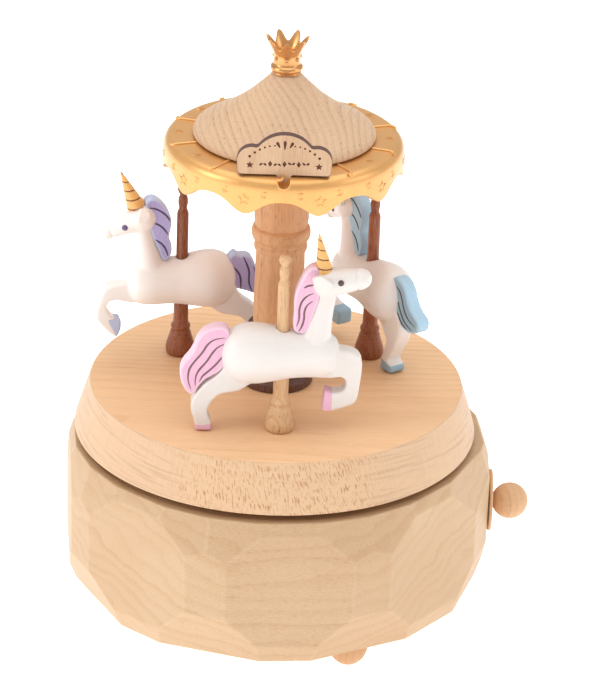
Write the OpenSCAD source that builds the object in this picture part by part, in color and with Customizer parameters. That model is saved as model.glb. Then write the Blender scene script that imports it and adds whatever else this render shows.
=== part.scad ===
// Carousel music box: a faceted wooden base with a winding knob, a bevelled turntable that
// carries a turned column, a gilt canopy and three unicorns on posts, and a spring driven
// comb movement with a pinned cylinder on the turntable spindle.
// Millimetres. Z is the axis of rotation, the floor is z = 0, the front of the sign faces -Y,
// and the winding knob is on +X.

/* [Base] */
// distance from the axis to each wide facet of the base
facet_a = 62.4; // [56:0.1:66]
// height of the flat underside of the base above the floor
base_z0 = 12; // [8:0.5:14]
// height of the rim of the base
base_z1 = 58.6; // [50:0.2:64]
// distance from the axis to the underside's edge below each wide facet
base_foot_r = 60.2; // [52:0.1:61]
// angle of the first wide facet from the front
facet_turn = 5.5; // [0:0.5:22]
// radius of the hollow that holds the movement
cavity_r = 39; // [34:0.5:39]
// radius of one ball foot
foot_r = 6; // [4:0.25:7]
// distance of the feet from the axis
foot_at = 45; // [42:0.5:47]
// angle of the first foot from the front
foot_turn = 33; // [0:1:60]

/* [Turntable] */
// radius of the upper edge of the turntable
table_top_r = 56.4; // [50:0.2:60]
// radius of the lower edge of the turntable
table_bot_r = 61; // [56:0.2:64]
// height of the underside of the turntable
table_z0 = 61; // [60.6:0.1:62]
// height of the top of the turntable
table_z1 = 76; // [72:0.5:80]

/* [Column and canopy] */
// radius of the column shaft just above its dark foot
shaft_r = 7.6; // [6:0.1:9]
// radius of the capital
capital_r = 8.2; // [7:0.1:10]
// outer radius of the canopy ring
canopy_r = 35.6; // [30:0.2:42]
// height of the flat top of the canopy ring
canopy_z = 155.6; // [150:0.2:160]
// height of the tips of the scallops
scallop_z = 144.3; // [142:0.1:147]
// height of the valleys between the scallops
valley_z = 148.6; // [147:0.1:151]
// number of scallops round the canopy
scallops = 10; // [6:1:16]
// radius of the rim of the wooden roof
roof_r = 26.8; // [22:0.2:30]
// number of points on the crown
crown_n = 7; // [5:1:9]

/* [Unicorns and posts] */
// distance of the posts from the axis
post_at = 34; // [30:0.5:40]
// angle of the first post from the front
post_turn = 2.5; // [0:0.5:30]
// radius of the lower part of a post
post_r = 2.3; // [1.8:0.1:3]
// radius of the part of a post above the unicorn
post_top_r = 1.8; // [1.4:0.1:2.4]
// height of the centreline of a torso
torso_z = 100.7; // [98:0.1:104]
// thickness of the leg, mane and tail plates
plate_t = 5; // [3:0.25:7]

/* [Winding knob] */
// radius of the wooden ball
ball_r = 5.6; // [4:0.1:8]
// radius of the round wooden plate behind the ball
plate_r = 9.5; // [6:0.25:12]
// height of the winding axis
wind_z = 37.2; // [34:0.2:40]

/* [Movement] */
// radius of the pinned cylinder
drum_r = 6.5; // [5:0.1:7]
// number of teeth of the comb
comb_n = 18; // [12:1:24]
// radial clearance of a running fit
run = 0.05; // [0.02:0.01:0.1]

/* [Hidden] */
$fn = 96;
gap = 0.05;                          // clearance between glued or screwed parts
riders = 3;                          // unicorns and posts
cover_r = 42.6;                      // radius of the bottom cover
// per unicorn: direction of its post from the front, and direction of its heading from +X
post_az = [post_turn, post_turn + 121.3, post_turn + 238.8];
heading = [2.5, 125, 192];
// skull centre, its radius, rise of the face, length of the face, radius of the muzzle
skull = [[12.1, 0, 123.4], [12.4, 0, 122], [12.4, 0, 122]];
skull_r = 4.4;
face_up = [6.3, -32, -24];
face_len = [10.2, 12, 12.2];
muzzle_r = [2.95, 1.9, 1.85];
// foot of the neck, its lean and its radius at the top
neck_at = [[9.7, 0, 105.4], [9.9, 0, 105], [9.9, 0, 105]];
neck_lean = [7.5, 9.5, 9.5];
neck_top_r = [3.3, 3.1, 3.1];
// foot of the horn, its lean and its radius
horn_at = [[11.5, 0, 127.3], [14.5, 0, 125.9], [14.5, 0, 125.9]];
horn_lean = [-7, 23, 23];
horn_r = [2.1, 2.4, 2.4];
ear_at = [[11.2, 124.4], [12.9, 124.3], [12.9, 124.3]];
ear_turn = [40, 84, 84];
rump = [[[0, -17.8], [3.4, -17.4], [6.6, -15.8], [8.5, -13.2], [9.3, -10], [9.1, -6.5], [8.3, -2.5]],
        [[0, -16.4], [3.4, -16.1], [6.3, -15], [8.3, -12.8], [9.1, -9], [8.9, -6], [8.2, -2.5]],
        [[0, -16.4], [3.4, -16.1], [6.3, -15], [8.3, -12.8], [9.1, -9], [8.9, -6], [8.2, -2.5]]];
chest = [[[7.5, 1.5], [7.1, 5.5], [7.1, 9.5], [6.8, 12.5], [5.8, 14.8], [4, 16.1], [0, 16.5]],
         [[7.4, 1.5], [7.4, 5.5], [7.6, 9.5], [7.2, 12.5], [6.1, 14.8], [4, 16.2], [0, 16.7]],
         [[7.4, 1.5], [7.4, 5.5], [7.6, 9.5], [7.2, 12.5], [6.1, 14.8], [4, 16.2], [0, 16.7]]];
knob_x = 66.5;                       // inner face of the knob plate
ball_x = 73.2;                       // centre of the ball
great_n = 28;                        // pins of the great wheel
pinion_n = 18;                       // teeth of the cylinder pinion
great_r = great_n / 2;               // pitch radius of the great wheel, module 1
pinion_r = pinion_n / 2;             // pitch radius of the pinion, module 1
idler_a = 150;                       // direction of the idler from the axis
idler_d = 12.5;                      // 40 teeth and 10 teeth, module 0.5
fly_d = 10;                          // 30 teeth and 10 teeth, module 0.5
idler_x = idler_d * cos(idler_a);
idler_y = idler_d * sin(idler_a);
fly_x = idler_x - fly_d;
fly_y = idler_y;
// which sub-part to draw

maple = [0.91, 0.78, 0.63];
beech = [0.86, 0.69, 0.52];
gilt = [0.90, 0.68, 0.36];
walnut = [0.30, 0.17, 0.11];
redbrown = [0.43, 0.22, 0.13];
white = [0.96, 0.92, 0.89];
steel = [0.72, 0.72, 0.74];
brass = [0.84, 0.68, 0.36];
mane_c = [[0.91, 0.70, 0.80], [0.65, 0.78, 0.86], [0.61, 0.55, 0.73]];

// at angle a from the front, distance r from the axis, facing outwards along local +X
module around(a, r = 0) rotate([0, 0, a - 90]) translate([r, 0, 0]) children();
// one copy every 360/n degrees
module ring(n, a0 = 0, r = 0) for (k = [0:n - 1]) around(a0 + k * 360 / n, r) children();
// a cylinder lying along X, from x0 to x1
module xcyl(x0, x1, r, r2 = -1)
  translate([x0, 0, 0]) rotate([0, 90, 0]) cylinder(h = x1 - x0, r1 = r, r2 = r2 < 0 ? r : r2);
// turned shape: list of [radius, height]
module turned(p) rotate_extrude() polygon(p);
// spur gear: n teeth, module m, thickness t
module spur(n, m, t, bore) {
  rr = n * m / 2 - 1.25 * m;
  difference() {
    union() {
      cylinder(h = t, r = rr);
      for (k = [0:n - 1]) rotate([0, 0, k * 360 / n]) linear_extrude(height = t)
        polygon([[rr - 0.2 * m, -0.78 * m], [rr + 1.15 * m, -0.62 * m], [rr + 2.05 * m, -0.3 * m],
                 [rr + 2.05 * m, 0.3 * m], [rr + 1.15 * m, 0.62 * m], [rr - 0.2 * m, 0.78 * m]]);
    }
    if (bore > 0) translate([0, 0, -1]) cylinder(h = t + 2, r = bore);
  }
}
// countersunk screw pointing up, head face at z = 0
module screw(r, len, head) {
  difference() {
    union() {
      cylinder(h = head - r, r1 = head, r2 = r);
      cylinder(h = len, r = r);
    }
    translate([-head, -0.25, -1]) cube([2 * head, 0.5, 1.5]);
  }
}
function unit(v) = v / norm(v);
// keeps what lies inside the plane through three points whose outward side is away from the axis
module cut_plane(p, q, s) {
  n0 = unit(cross(q - p, s - p));
  n = n0[0] < 0 ? -n0 : n0;
  d = n * p;
  az = atan2(n[1], n[0]);
  el = acos(n[2]);
  rotate([0, 0, az]) rotate([0, el, 0]) translate([-60, -60, d]) cube([120, 120, 60]);
}

// ---- base ---------------------------------------------------------------------------------
edge_t = 19.1;                                 // half width of a wide facet
edge_a = atan2(edge_t, facet_a);
narrow_r = norm([facet_a, edge_t]) * cos(22.5 - edge_a);
nx = narrow_r * cos(22.5);
ny = narrow_r * sin(22.5);
// hand cut facets: how far each wide and each narrow facet stands out from the regular shape,
// and how far in each corner is cut at the underside
wide_out = [0, 0, 2.6, 0, 0, 0, 0, 0];
narrow_out = [0, 0.9, 0.3, 0, 0, 0, 0, 0];
corner_in = [58.5, 61.4, 59, 58.5, 58.5, 58.5, 58.4, 58.6];
module facet_cuts(k) {
  translate([wide_out[k], 0, 0]) {
    translate([facet_a, -60, 0]) cube([60, 120, 90]);
    cut_plane([facet_a, -5, 54.8], [facet_a, 5, 54.8], [60.9, 0, 58.5]);
    cut_plane([facet_a, -5, 18], [facet_a, 5, 18], [base_foot_r, 0, base_z0]);
    for (s = [-1, 1])
      cut_plane([facet_a, s * 8.5, 54.8], [facet_a, s * edge_t, 46], [nx, s * ny, 48.5]);
  }
  rotate([0, 0, 22.5]) {
    translate([narrow_r + narrow_out[k], -60, 0]) cube([60, 120, 90]);
    cut_plane([narrow_r + narrow_out[k], -5, 27.3], [narrow_r + narrow_out[k], 5, 27.3],
              [corner_in[k], 0, base_z0]);
  }
}
module base_body() color(maple) difference() {
  translate([0, 0, base_z0]) cylinder(h = base_z1 - base_z0, r = 72);
  for (k = [0:7]) rotate([0, 0, 45 * k + facet_turn - 90]) facet_cuts(k);
  // hollow, spindle hole, knob hole, foot sockets, screw pilots
  translate([0, 0, base_z0 - 1]) cylinder(h = 54.2 - base_z0 + 1, r = cavity_r);
  translate([0, 0, base_z0 - 1]) cylinder(h = 3.6, r = cover_r + 0.2);
  ring(3, 92, cover_r - 1.7) translate([0, 0, base_z0]) cylinder(h = 8, r = 0.95);
  cylinder(h = 80, r = 7);
  translate([0, 0, wind_z]) xcyl(30, 80, 3.5);
  translate([0, 0, wind_z]) xcyl(58.5, 80, 5);
  for (k = [0:2]) around(foot_turn + 120 * k, foot_at) cylinder(h = base_z0 + 6, r = 1.5 + gap);
  // shallow groove that leaves a thin raised lip round the rim
  translate([0, 0, base_z1 - 0.6]) difference() {
    cylinder(h = 2, r = 58.6);
    translate([0, 0, -1]) cylinder(h = 4, r = 20);
  }
}
module base_cover() color(beech) difference() {
  union() {
    translate([0, 0, base_z0 + 0.4]) cylinder(h = 2.15, r = cover_r);
    translate([0, 0, base_z0 + 2.5]) cylinder(h = 2, r = cavity_r - 0.2);
  }
  ring(4, 45, 26) translate([0, 0, base_z0]) cylinder(h = 6, r = 1.3);
  ring(4, 45, 26) translate([0, 0, base_z0 + 0.5]) cylinder(h = 1.4, r1 = 2.7, r2 = 1.3);
  ring(3, 92, cover_r - 1.7) translate([0, 0, base_z0]) cylinder(h = 6, r = 0.95);
  ring(3, 92, cover_r - 1.7) translate([0, 0, base_z0 + 0.4]) cylinder(h = 0.7, r1 = 1.65, r2 = 0.95);
}
module cover_screws() color(steel) ring(3, 92, cover_r - 1.7) translate([0, 0, base_z0 + 0.45])
  screw(0.9, 6.5, 1.55);
module ball_feet() color(beech) for (k = [0:2]) around(foot_turn + 120 * k, foot_at) {
  difference() {
    translate([0, 0, foot_r - 0.15]) sphere(r = foot_r);
    translate([-10, -10, -2]) cube([20, 20, 2]);
    translate([-10, -10, base_z0 - 0.02]) cube([20, 20, 10]);
  }
  translate([0, 0, 4]) cylinder(h = base_z0 + 1.5, r = 1.5);
}

// ---- fixed part of the movement ------------------------------------------------------------
fz = base_z0 + 4.6;                       // underside of the frame plate
module movement_frame() color(brass) difference() {
  union() {
    translate([-27, -20, fz]) cube([60, 40, 2.4]);
    translate([29, -10, fz]) cube([2.4, 20, 46 - fz]);
    translate([29, 0, wind_z]) xcyl(0, 2.4, 10);
    for (p = [[-26, -12], [-26, 16], [4, 17]])
      translate([p[0], p[1], fz]) cylinder(h = 51.8 - fz, r = 2.2);
    translate([-3, -20, fz]) cube([6, 5, 48.2 - fz]);
  }
  translate([-1.95, -26, 26]) cube([10, 12, 30]);
  for (z = [32, 42]) translate([0, -18, z]) xcyl(-5, 3, 0.95);
  translate([0, 0, fz - 1]) cylinder(h = 5, r = 2 + run);
  translate([idler_x, idler_y, fz + 0.8]) cylinder(h = 5, r = 0.6 + run);
  translate([fly_x, fly_y, fz + 0.8]) cylinder(h = 5, r = 0.5 + run);
  translate([0, 0, wind_z]) xcyl(25, 40, 2 + run);
  ring(4, 45, 26) translate([0, 0, fz - 1]) cylinder(h = 9, r = 1);
}
module top_bridge() color(brass) translate([0, 0, 52]) difference() {
  union() {
    translate([-30, -15, 0]) cube([8, 34, 1.4]);
    translate([-30, 3, 0]) cube([37, 16, 1.4]);
  }
  cylinder(h = 4, r = 7.2, center = true);
  translate([idler_x, idler_y, -1]) cylinder(h = 4, r = 0.6 + run);
  translate([fly_x, fly_y, -1]) cylinder(h = 4, r = 0.5 + run);
  for (p = [[-26, -12], [-26, 16], [4, 17]]) translate([p[0], p[1], -1]) cylinder(h = 4, r = 0.9);
}
module frame_screws() color(steel) ring(4, 45, 26) translate([0, 0, base_z0 + 0.5]) screw(0.95,
    6.4, 2.5);
module comb() color(steel) translate([-0.9, 0, 0]) difference() {
  translate([-1, -20.5, 27.2]) cube([1, 20.5 - 7.7, 19.6]);
  for (k = [0:comb_n]) translate([-2, -15.6 - k * 0.08, 27 + k * 1.1]) cube([4, 12 + k * 0.08, 0.25]);
  for (z = [32, 42]) translate([0, -18, z]) xcyl(-3, 3, 1);
}
module comb_screws() color(steel) for (z = [32, 42]) translate([0, -18, z]) {
  xcyl(-0.87, 0.1, 1.7);
  xcyl(-2.95, -0.87, 0.9);
}
module winding_bushing() color(brass) translate([0, 0, wind_z]) difference() {
  union() {
    xcyl(58.6, 65.6, 5 - gap);
    xcyl(40, 58.6, 3.5 - gap);
  }
  xcyl(30, 80, 2 + run);
}
module spindle_bushing() color(brass) difference() {
  union() {
    translate([0, 0, 54.3]) cylinder(h = 5, r = 7 - gap);
    translate([0, 0, base_z1 + 0.02]) cylinder(h = 1.38, r = 10);
  }
  cylinder(h = 80, r = 3 + run);
}
module click() color(steel) translate([31.6, 0, wind_z]) difference() {
  union() {
    translate([0, 6.4, -5.6]) rotate([0, 90, 0]) cylinder(h = 1.3, r = 1.5);
    translate([0, 5.4, -5.4]) cube([1.3, 1.6, 4.6]);
  }
  translate([-1, 6.4, -5.6]) rotate([0, 90, 0]) cylinder(h = 4, r = 0.5);
}

// ---- mainspring, winding arbor and knob ----------------------------------------------------
module spring_barrel() color(brass) translate([0, 0, wind_z]) difference() {
  xcyl(14.2, 27.6, 13);
  xcyl(15, 26.8, 12.3);
  xcyl(10, 30, 2 + run);
}
module great_wheel() color(brass) translate([0, 0, wind_z]) {
  difference() {
    xcyl(11.8, 14.1, great_r + 1.1);
    xcyl(10, 30, 2 + run);
  }
  for (k = [0:great_n - 1]) rotate([k * 360 / great_n, 0, 0]) translate([0, 0, -great_r])
    xcyl(8, 11.9, 0.55);
}
module mainspring() color(steel) translate([15.6, 0, wind_z]) rotate([0, 90, 0])
  for (k = [0:5]) difference() {
    cylinder(h = 10.6, r = 11.9 - k * 0.75);
    translate([0, 0, -1]) cylinder(h = 13, r = 11.55 - k * 0.75);
  }
module winding_arbor() color(steel) translate([0, 0, wind_z]) {
  xcyl(11, 66.2, 2);
  xcyl(15.2, 26.6, 3.4);
  xcyl(66.2, 71, 1.2);
}
module ratchet_wheel() color(steel) translate([34.2, 0, wind_z]) rotate([0, -90, 0]) difference() {
  linear_extrude(height = 2) polygon([for (k = [0:15]) for (s = [0, 1])
    [(s == 0 ? 4.6 : 3.7) * cos(22.5 * k), (s == 0 ? 4.6 : 3.7) * sin(22.5 * k)]]);
  translate([0, 0, -1]) cylinder(h = 4, r = 2 + gap);
}
module knob_plate() color(beech) translate([0, 0, wind_z]) difference() {
  union() {
    xcyl(knob_x, knob_x + 0.3, plate_r - 0.3, plate_r);
    xcyl(knob_x + 0.3, knob_x + 0.8, plate_r);
    xcyl(knob_x + 0.8, knob_x + 1.1, plate_r, plate_r - 0.3);
  }
  xcyl(60, 80, 1.2 + gap);
}
module knob_ball() color(beech) translate([0, 0, wind_z]) difference() {
  translate([ball_x, 0, 0]) sphere(r = ball_r);
  translate([knob_x - 10 + 1.12, -10, -10]) cube([10, 20, 20]);
  xcyl(60, 71.1, 1.2 + gap);
}

// ---- governor ------------------------------------------------------------------------------
module idler_wheel() color(brass) translate([idler_x, idler_y, 0]) {
  translate([0, 0, fz + 1]) cylinder(h = 53 - fz - 1, r = 0.6);
  translate([0, 0, 47.4]) rotate([0, 0, idler_a]) spur(10, 0.5, 2.2, 0);
  translate([0, 0, 50.1]) spur(30, 0.5, 1.2, 0);
}
module fly_arbor() color(steel) translate([fly_x, fly_y, 0]) {
  translate([0, 0, fz + 1]) cylinder(h = 53 - fz - 1, r = 0.5);
  translate([0, 0, 49.9]) rotate([0, 0, 18]) spur(10, 0.5, 1.6, 0);
}
module fly_vanes() color(steel) translate([fly_x, fly_y, 28]) difference() {
  union() {
    translate([-6.5, -0.25, 0]) cube([13, 0.5, 13]);
    cylinder(h = 13, r = 1.3);
  }
  translate([0, 0, -1]) cylinder(h = 16, r = 0.5 + gap);
}

// ---- spindle and cylinder ------------------------------------------------------------------
module spindle() color(steel) {
  translate([0, 0, fz + 0.1]) cylinder(h = 3.5, r = 2);
  translate([0, 0, fz + 3.6]) cylinder(h = 22.6 - fz, r = 3);
  translate([0, 0, 46.9]) cylinder(h = 21.1, r = 3);
  translate([0, 0, 26]) cylinder(h = 21, r = 2.5);
  translate([0, 0, wind_z - great_r - 1.6]) rotate([0, 0, 10]) spur(pinion_n, 1, 3.2, 0);
  translate([0, 0, 47.7]) rotate([0, 0, idler_a + 4.5]) spur(40, 0.5, 1.6, 0);
}
module pinned_cylinder() color(brass) {
  difference() {
    translate([0, 0, 26.8]) cylinder(h = 20, r = drum_r);
    translate([0, 0, 26]) cylinder(h = 22, r = 2.5 + gap);
  }
  for (k = [0:comb_n - 1]) for (j = [0:2])
    translate([0, 0, 27.5 + k * 1.1]) rotate([0, 0, (k * 67 + j * (103 + k * 5)) % 360])
      xcyl(drum_r - 0.3, drum_r + 0.6, 0.2);
}
module spindle_flange() color(steel) difference() {
  translate([0, 0, 60.3]) cylinder(h = 2.2, r = 13);
  cylinder(h = 80, r = 3 + gap);
  ring(3, 0, 9) translate([0, 0, 60]) cylinder(h = 3, r = 1.15);
  ring(3, 0, 9) translate([0, 0, 60.3]) cylinder(h = 1.1, r1 = 2.1, r2 = 1.15);
}
module flange_screws() color(steel) ring(3, 0, 9) translate([0, 0, 60.35]) screw(1, 8, 2);
module turntable() color(beech) difference() {
  turned([[0, table_z0], [table_bot_r - 0.6, table_z0], [table_bot_r, table_z0 + 0.6],
          [table_top_r + 0.2, table_z1 - 0.5], [table_top_r - 0.4, table_z1], [0, table_z1]]);
  translate([0, 0, 60]) cylinder(h = 2.55, r = 13.1);
  translate([0, 0, 60]) cylinder(h = 8.1, r = 3 + gap);
  translate([0, 0, 72]) cylinder(h = 10, r = 4 + gap);
  ring(3, 0, 9) translate([0, 0, 60]) cylinder(h = 9, r = 1.02);
  for (k = [0:2]) around(post_az[k], post_at) translate([0, 0, 70]) cylinder(h = 20, r = 1.5 + gap);
}

// ---- column, canopy, roof, crown -------------------------------------------------------------
module pedestal() color(walnut) translate([0, 0, table_z1]) difference() {
  turned([[0, 0.02], [10.6, 0.02], [11, 0.5], [11, 2.6], [10.5, 3], [9.9, 3.2], [9.2, 6], [8.7, 10],
          [8.4, 14.6], [8.5, 15.8], [9.1, 16.5], [9.3, 17.4], [9.1, 18.4], [8.5, 19], [0, 19]]);
  translate([0, 0, -1]) cylinder(h = 30, r = 4 + gap);
}
module column() color(beech) union() {
  turned([[0, 95.1], [shaft_r, 95.1], [shaft_r - 0.1, 108], [shaft_r - 0.3, 119], [7.9, 119.4],
          [8.0, 120.6], [7.8, 121.4], [7.9, 122.4], [8.4, 123.2], [8.8, 124.2], [8.8, 125.8],
          [8.4, 126.8], [7.9, 127.5], [capital_r, 129], [capital_r, 152], [0, 152]]);
  translate([0, 0, 72.3]) cylinder(h = 23, r = 4);
  translate([0, 0, 151]) cylinder(h = 22, r = 3);
}
module star2d(r, f = 0.42) polygon([for (k = [0:9]) let (q = k % 2 == 0 ? r : r * f)
  [q * sin(36 * k), q * cos(36 * k)]]);
module moon2d(r) difference() { circle(r = r, $fn = 24); translate([r * 0.55,
    r * 0.15]) circle(r = r * 0.8, $fn = 24); }
chord = canopy_r * sin(180 / scallops);
arch_r = (chord * chord + pow(valley_z - scallop_z, 2)) / (2 * (valley_z - scallop_z));
module canopy_ring() color(gilt) {
  difference() {
    turned([[0, 152.1], [33.2, 152.1], [33.4, scallop_z], [canopy_r - 0.2, scallop_z],
        [canopy_r, scallop_z + 0.3],
            [canopy_r, 152.6], [canopy_r - 0.25, 153.7], [canopy_r - 0.9, 154.7],
                [canopy_r - 1.9, canopy_z - 0.1],
            [canopy_r - 2.6, canopy_z], [0, canopy_z]]);
    for (k = [0:scallops - 1]) around(k * 360 / scallops) translate([0, 0,
        valley_z - arch_r]) xcyl(20, 50, arch_r);
    translate([0, 0, 140]) cylinder(h = 30, r = 3 + gap);
    translate([0, -canopy_r, 153.1]) rotate([90, 0, 0]) cylinder(h = 3, r = 1.6, center = true);
  }
  // raised wedge panels on the top, each with a small star
  for (k = [0:scallops - 1]) rotate([0, 0, 360 / scallops * (k + 0.5) - 90]) translate([0, 0,
      canopy_z - 0.1]) {
    linear_extrude(height = 0.5) polygon([[27.3, -8.3], [31.2, -9.7], [32.4, -9.3], [32.9, -8],
        [33.6, -4],
      [33.8, 0], [33.6, 4], [32.9, 8], [32.4, 9.3], [31.2, 9.7], [27.3, 8.3], [28.3, 4.2],
          [28.6, 0], [28.3, -4.2]]);
    translate([31, 0, 0.4]) rotate([0, 0, -90]) linear_extrude(height = 0.15) star2d(1.1);
  }
  // outlined stars at the tips and moons in the valleys
  for (k = [0:scallops - 1]) around((k + 0.5) * 360 / scallops, canopy_r - 0.3) translate([0, 0, 148.9])
    rotate([90, 0, 90]) linear_extrude(height = 0.7) difference() { star2d(1.9); star2d(1.1); }
  for (k = [0:scallops - 1]) for (s = [-1, 1]) around(k * 360 / scallops + s * 8.5, canopy_r - 0.5)
    translate([0, 0, 151]) rotate([90, 0, 90]) linear_extrude(height = 0.8) moon2d(0.95);
}
module roof() color(beech) difference() {
  turned([[0, canopy_z + 0.42], [28.2, canopy_z + 0.42], [roof_r + 0.4, 156.6], [roof_r, 157.2],
      [26, 158.5], [24, 159.7],
          [21, 161.3], [18, 163.1], [15, 165.2], [12, 167.5], [9.6, 169.6], [7.4, 171.7],
          [5.6, 173.6], [4.4, 174.9], [4.1, 175.4], [0, 175.4]]);
  translate([0, 0, 150]) cylinder(h = 23.1, r = 3 + gap);
  translate([0, 0, 170]) cylinder(h = 10, r = 1.5 + gap);
}
module crown() color(gilt) {
  difference() {
    turned([[0, 175.5], [3.9, 175.5], [4.5, 176.2], [4.5, 177.6], [4, 178.3], [3.9, 180.6], [4.3, 182],
            [5.2, 183.9], [6.6, 186.1], [6, 186.5], [4.4, 184], [3.2, 181.6], [3.2, 179.5],
                [0, 179.5]]);
    for (k = [0:crown_n - 1]) rotate([0, 0, (k + 0.5) * 360 / crown_n - 90])
      translate([0, 0, 183.5]) rotate([90, 0, 90]) linear_extrude(height = 10)
        polygon([[0, 0], [3.2, 4], [-3.2, 4]]);
  }
  translate([0, 0, 173.3]) cylinder(h = 3, r = 1.5);
  ring(crown_n, 0, 3.9) translate([0, 0, 179.9]) sphere(r = 0.75, $fn = 24);
}
module sign_plate() color(beech) translate([0.3, -29.6, canopy_z + 0.5]) rotate([90, 0,
    0]) difference() {
  linear_extrude(height = 2.6) difference() {
    union() {
      translate([-12.4, 0]) square([24.8, 6.4]);
      for (s = [-1, 1]) {
        translate([s * 9.2, 4.4]) circle(r = 4.4);
        translate([s * 12.2, 1.4]) circle(r = 1.4);
      }
      translate([0, 3.6]) circle(r = 8.6);
    }
    translate([-20, -30]) square([40, 30]);
  }
  translate([0, 0, 2.2]) linear_extrude(height = 1) union() {
    for (k = [0:4]) for (s = [-1, 1]) translate([s * (3.1 + k * 1.55),
        7.6 - k * k * 0.17]) circle(r = 0.3, $fn = 16);
    for (k = [-1:1]) translate([k * 1.5, 8.3]) rotate([0, 0, -k * 25])
      polygon([[-0.15, -0.9], [0.15, -0.9], [0.45, 0.6], [0, 1.1], [-0.45, 0.6]]);
    for (s = [-1, 1]) translate([s * 11, 2.9]) star2d(1);
    // generic ornament where a name would be
    for (k = [-3:3]) translate([k * 2.2, 3]) rotate([0, 0, 45]) square(k % 2 == 0 ? 1.3 : 0.9,
        center = true);
  }
}

// ---- posts ---------------------------------------------------------------------------------
module post(k) around(post_az[k], post_at) {
  turned([[0, table_z1 + 0.02], [3.9, table_z1 + 0.02], [4.3, 77], [4.4, 78.4], [4.1, 80],
      [3.5, 82.2], [3.05, 84],
          [2.6, 84.3], [2.6, 84.8], [2.85, 85.2], [2.85, 86], [2.5, 86.5], [post_r, 87], [post_r, 94.6],
          [post_top_r, 95.1], [post_top_r, 122.6], [1.65, 123.4], [1.25, 124], [1.2, 124.6],
              [1.45, 125.2],
          [1.55, 126.4], [1.4, 127.6], [1.05, 128.4], [1.1, 128.9], [1.6, 129.6], [1.75, 130.4],
          [1.55, 131.2], [1, 131.9], [0, 132.1]]);
  translate([0, 0, 70.2]) cylinder(h = 8, r = 1.5);
}
module post_1() color(beech) post(0);
module post_2() color(redbrown) post(1);
module post_3() color(redbrown) post(2);

// ---- unicorns --------------------------------------------------------------------------------
// local frame: origin on the post at floor level, +X is the heading
module place(k) rotate([0, 0, post_az[k]]) translate([0, -post_at, 0])
  rotate([0, 0, heading[k] - post_az[k]]) children();
module plate2d(t) rotate([90, 0, 0]) linear_extrude(height = t, center = true) children();
module neck_lie(k) translate(neck_at[k]) rotate([0, neck_lean[k], 0]) children();
module horn_lie(k) translate(horn_at[k]) rotate([0, horn_lean[k], 0]) children();
module torso(k) difference() {
  translate([0, 0, torso_z]) rotate([0, 90, 0]) turned(concat(rump[k], chest[k]));
  translate([0, 0, 80]) cylinder(h = 15.2, r = post_r + gap);
  translate([0, 0, 80]) cylinder(h = 50, r = post_top_r + 0.25);
  // flats and slots for the plates
  translate([k == 0 ? -16.5 : -14, -plate_t / 2 - gap, 96]) mirror([1, 0, 0]) cube([10,
      plate_t + 2 * gap, 20]);
  translate([-22, -plate_t / 2 - gap, 80]) cube([k == 0 ? 16.5 : k == 1 ? 15.2 : 16.5,
      plate_t + 2 * gap, 16.2]);
  translate([14.4, -plate_t / 2 - gap, 80]) cube([12, plate_t + 2 * gap, 25]);
  translate([0, 0, -0.1]) neck_lie(k) cylinder(h = 20, r = 4.4 + gap);
}
module neck(k, more = 0) neck_lie(k) cylinder(h = 17, r1 = 4.35 + more, r2 = neck_top_r[k] + more);
module head(k) {
  neck(k);
  translate(skull[k]) sphere(r = skull_r);
  translate(skull[k]) rotate([0, 90 - face_up[k], 0]) {
    cylinder(h = face_len[k], r1 = skull_r, r2 = muzzle_r[k]);
    translate([0, 0, face_len[k]]) sphere(r = muzzle_r[k]);
  }
}
mane_a = [[9.3, 129.2], [7.5, 129], [6, 127.5], [5, 125], [4, 123.5], [3, 121], [2.7, 118], [3, 114],
  [2.7, 111], [3.2, 108.4], [4.4, 108.2], [5.2, 108.4], [6.3, 111.5], [7.3, 115], [8.3, 119.5],
      [7.6, 122],
  [7.4, 124], [8.2, 126.5]];
mane_b = [[11.9, 128], [9, 128.5], [6.7, 127], [4.9, 124.6], [3.9, 122.1], [3.7, 119.6], [4.2, 116.8],
  [4.5, 115.6], [3.8, 113.9], [3.4, 111.8], [3.7, 109.7], [4.5, 108.5], [5.4, 108.4], [6.6, 110],
      [8.5, 114],
  [10, 118.5], [9, 121], [9.4, 124.5]];
module mane_part(k) difference() {
  plate2d(plate_t - 1) polygon(k == 0 ? mane_a : mane_b);
  translate([0, 0, torso_z]) rotate([0, 90, 0]) cylinder(h = 40, r = k == 0 ? 7.15 : 7.55,
      center = true);
  neck(k, 0.05);
  translate(skull[k]) sphere(r = skull_r + 0.05);
  translate([0, 0, 80]) cylinder(h = 60, r = 2.6);
}
tail_a = [[-16.6, 108.6], [-17, 109.4], [-20, 109.6], [-23, 108.2], [-25, 105.5], [-25.7, 103],
    [-27, 100.5],
  [-29, 98], [-29.8, 95.5], [-29.3, 92], [-28.3, 89.5], [-26.6, 87.8], [-25.3, 88.6], [-24.2, 90.6],
  [-22.4, 93], [-19, 94.9], [-17.8, 96.6], [-17.9, 99], [-17.9, 104], [-16.6, 107]];
tail_b = [[-14.1, 107.6], [-15.2, 108.4], [-17.6, 107.6], [-19.9, 106.4], [-20.9, 103.8],
    [-22.6, 100.8],
  [-27.2, 98.2], [-26.8, 94.9], [-22.7, 92.9], [-19, 93.6], [-17.2, 95.6], [-16.5, 97.4],
      [-16.5, 104], [-15, 106]];
tail_c = [[-14.1, 107.9], [-16, 109.3], [-17.6, 108.2], [-19.2, 108.5], [-21.2, 107.7], [-22.2, 105.9],
  [-23, 103], [-24.8, 100.6], [-27, 98.6], [-27.4, 96], [-25.4, 94], [-22.4, 95.6], [-19.8, 96.7],
  [-17.9, 97.2], [-16.5, 98], [-16.5, 104], [-15, 106]];
module tail_part(k) plate2d(plate_t - 1) polygon(k == 0 ? tail_a : k == 1 ? tail_b : tail_c);
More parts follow.
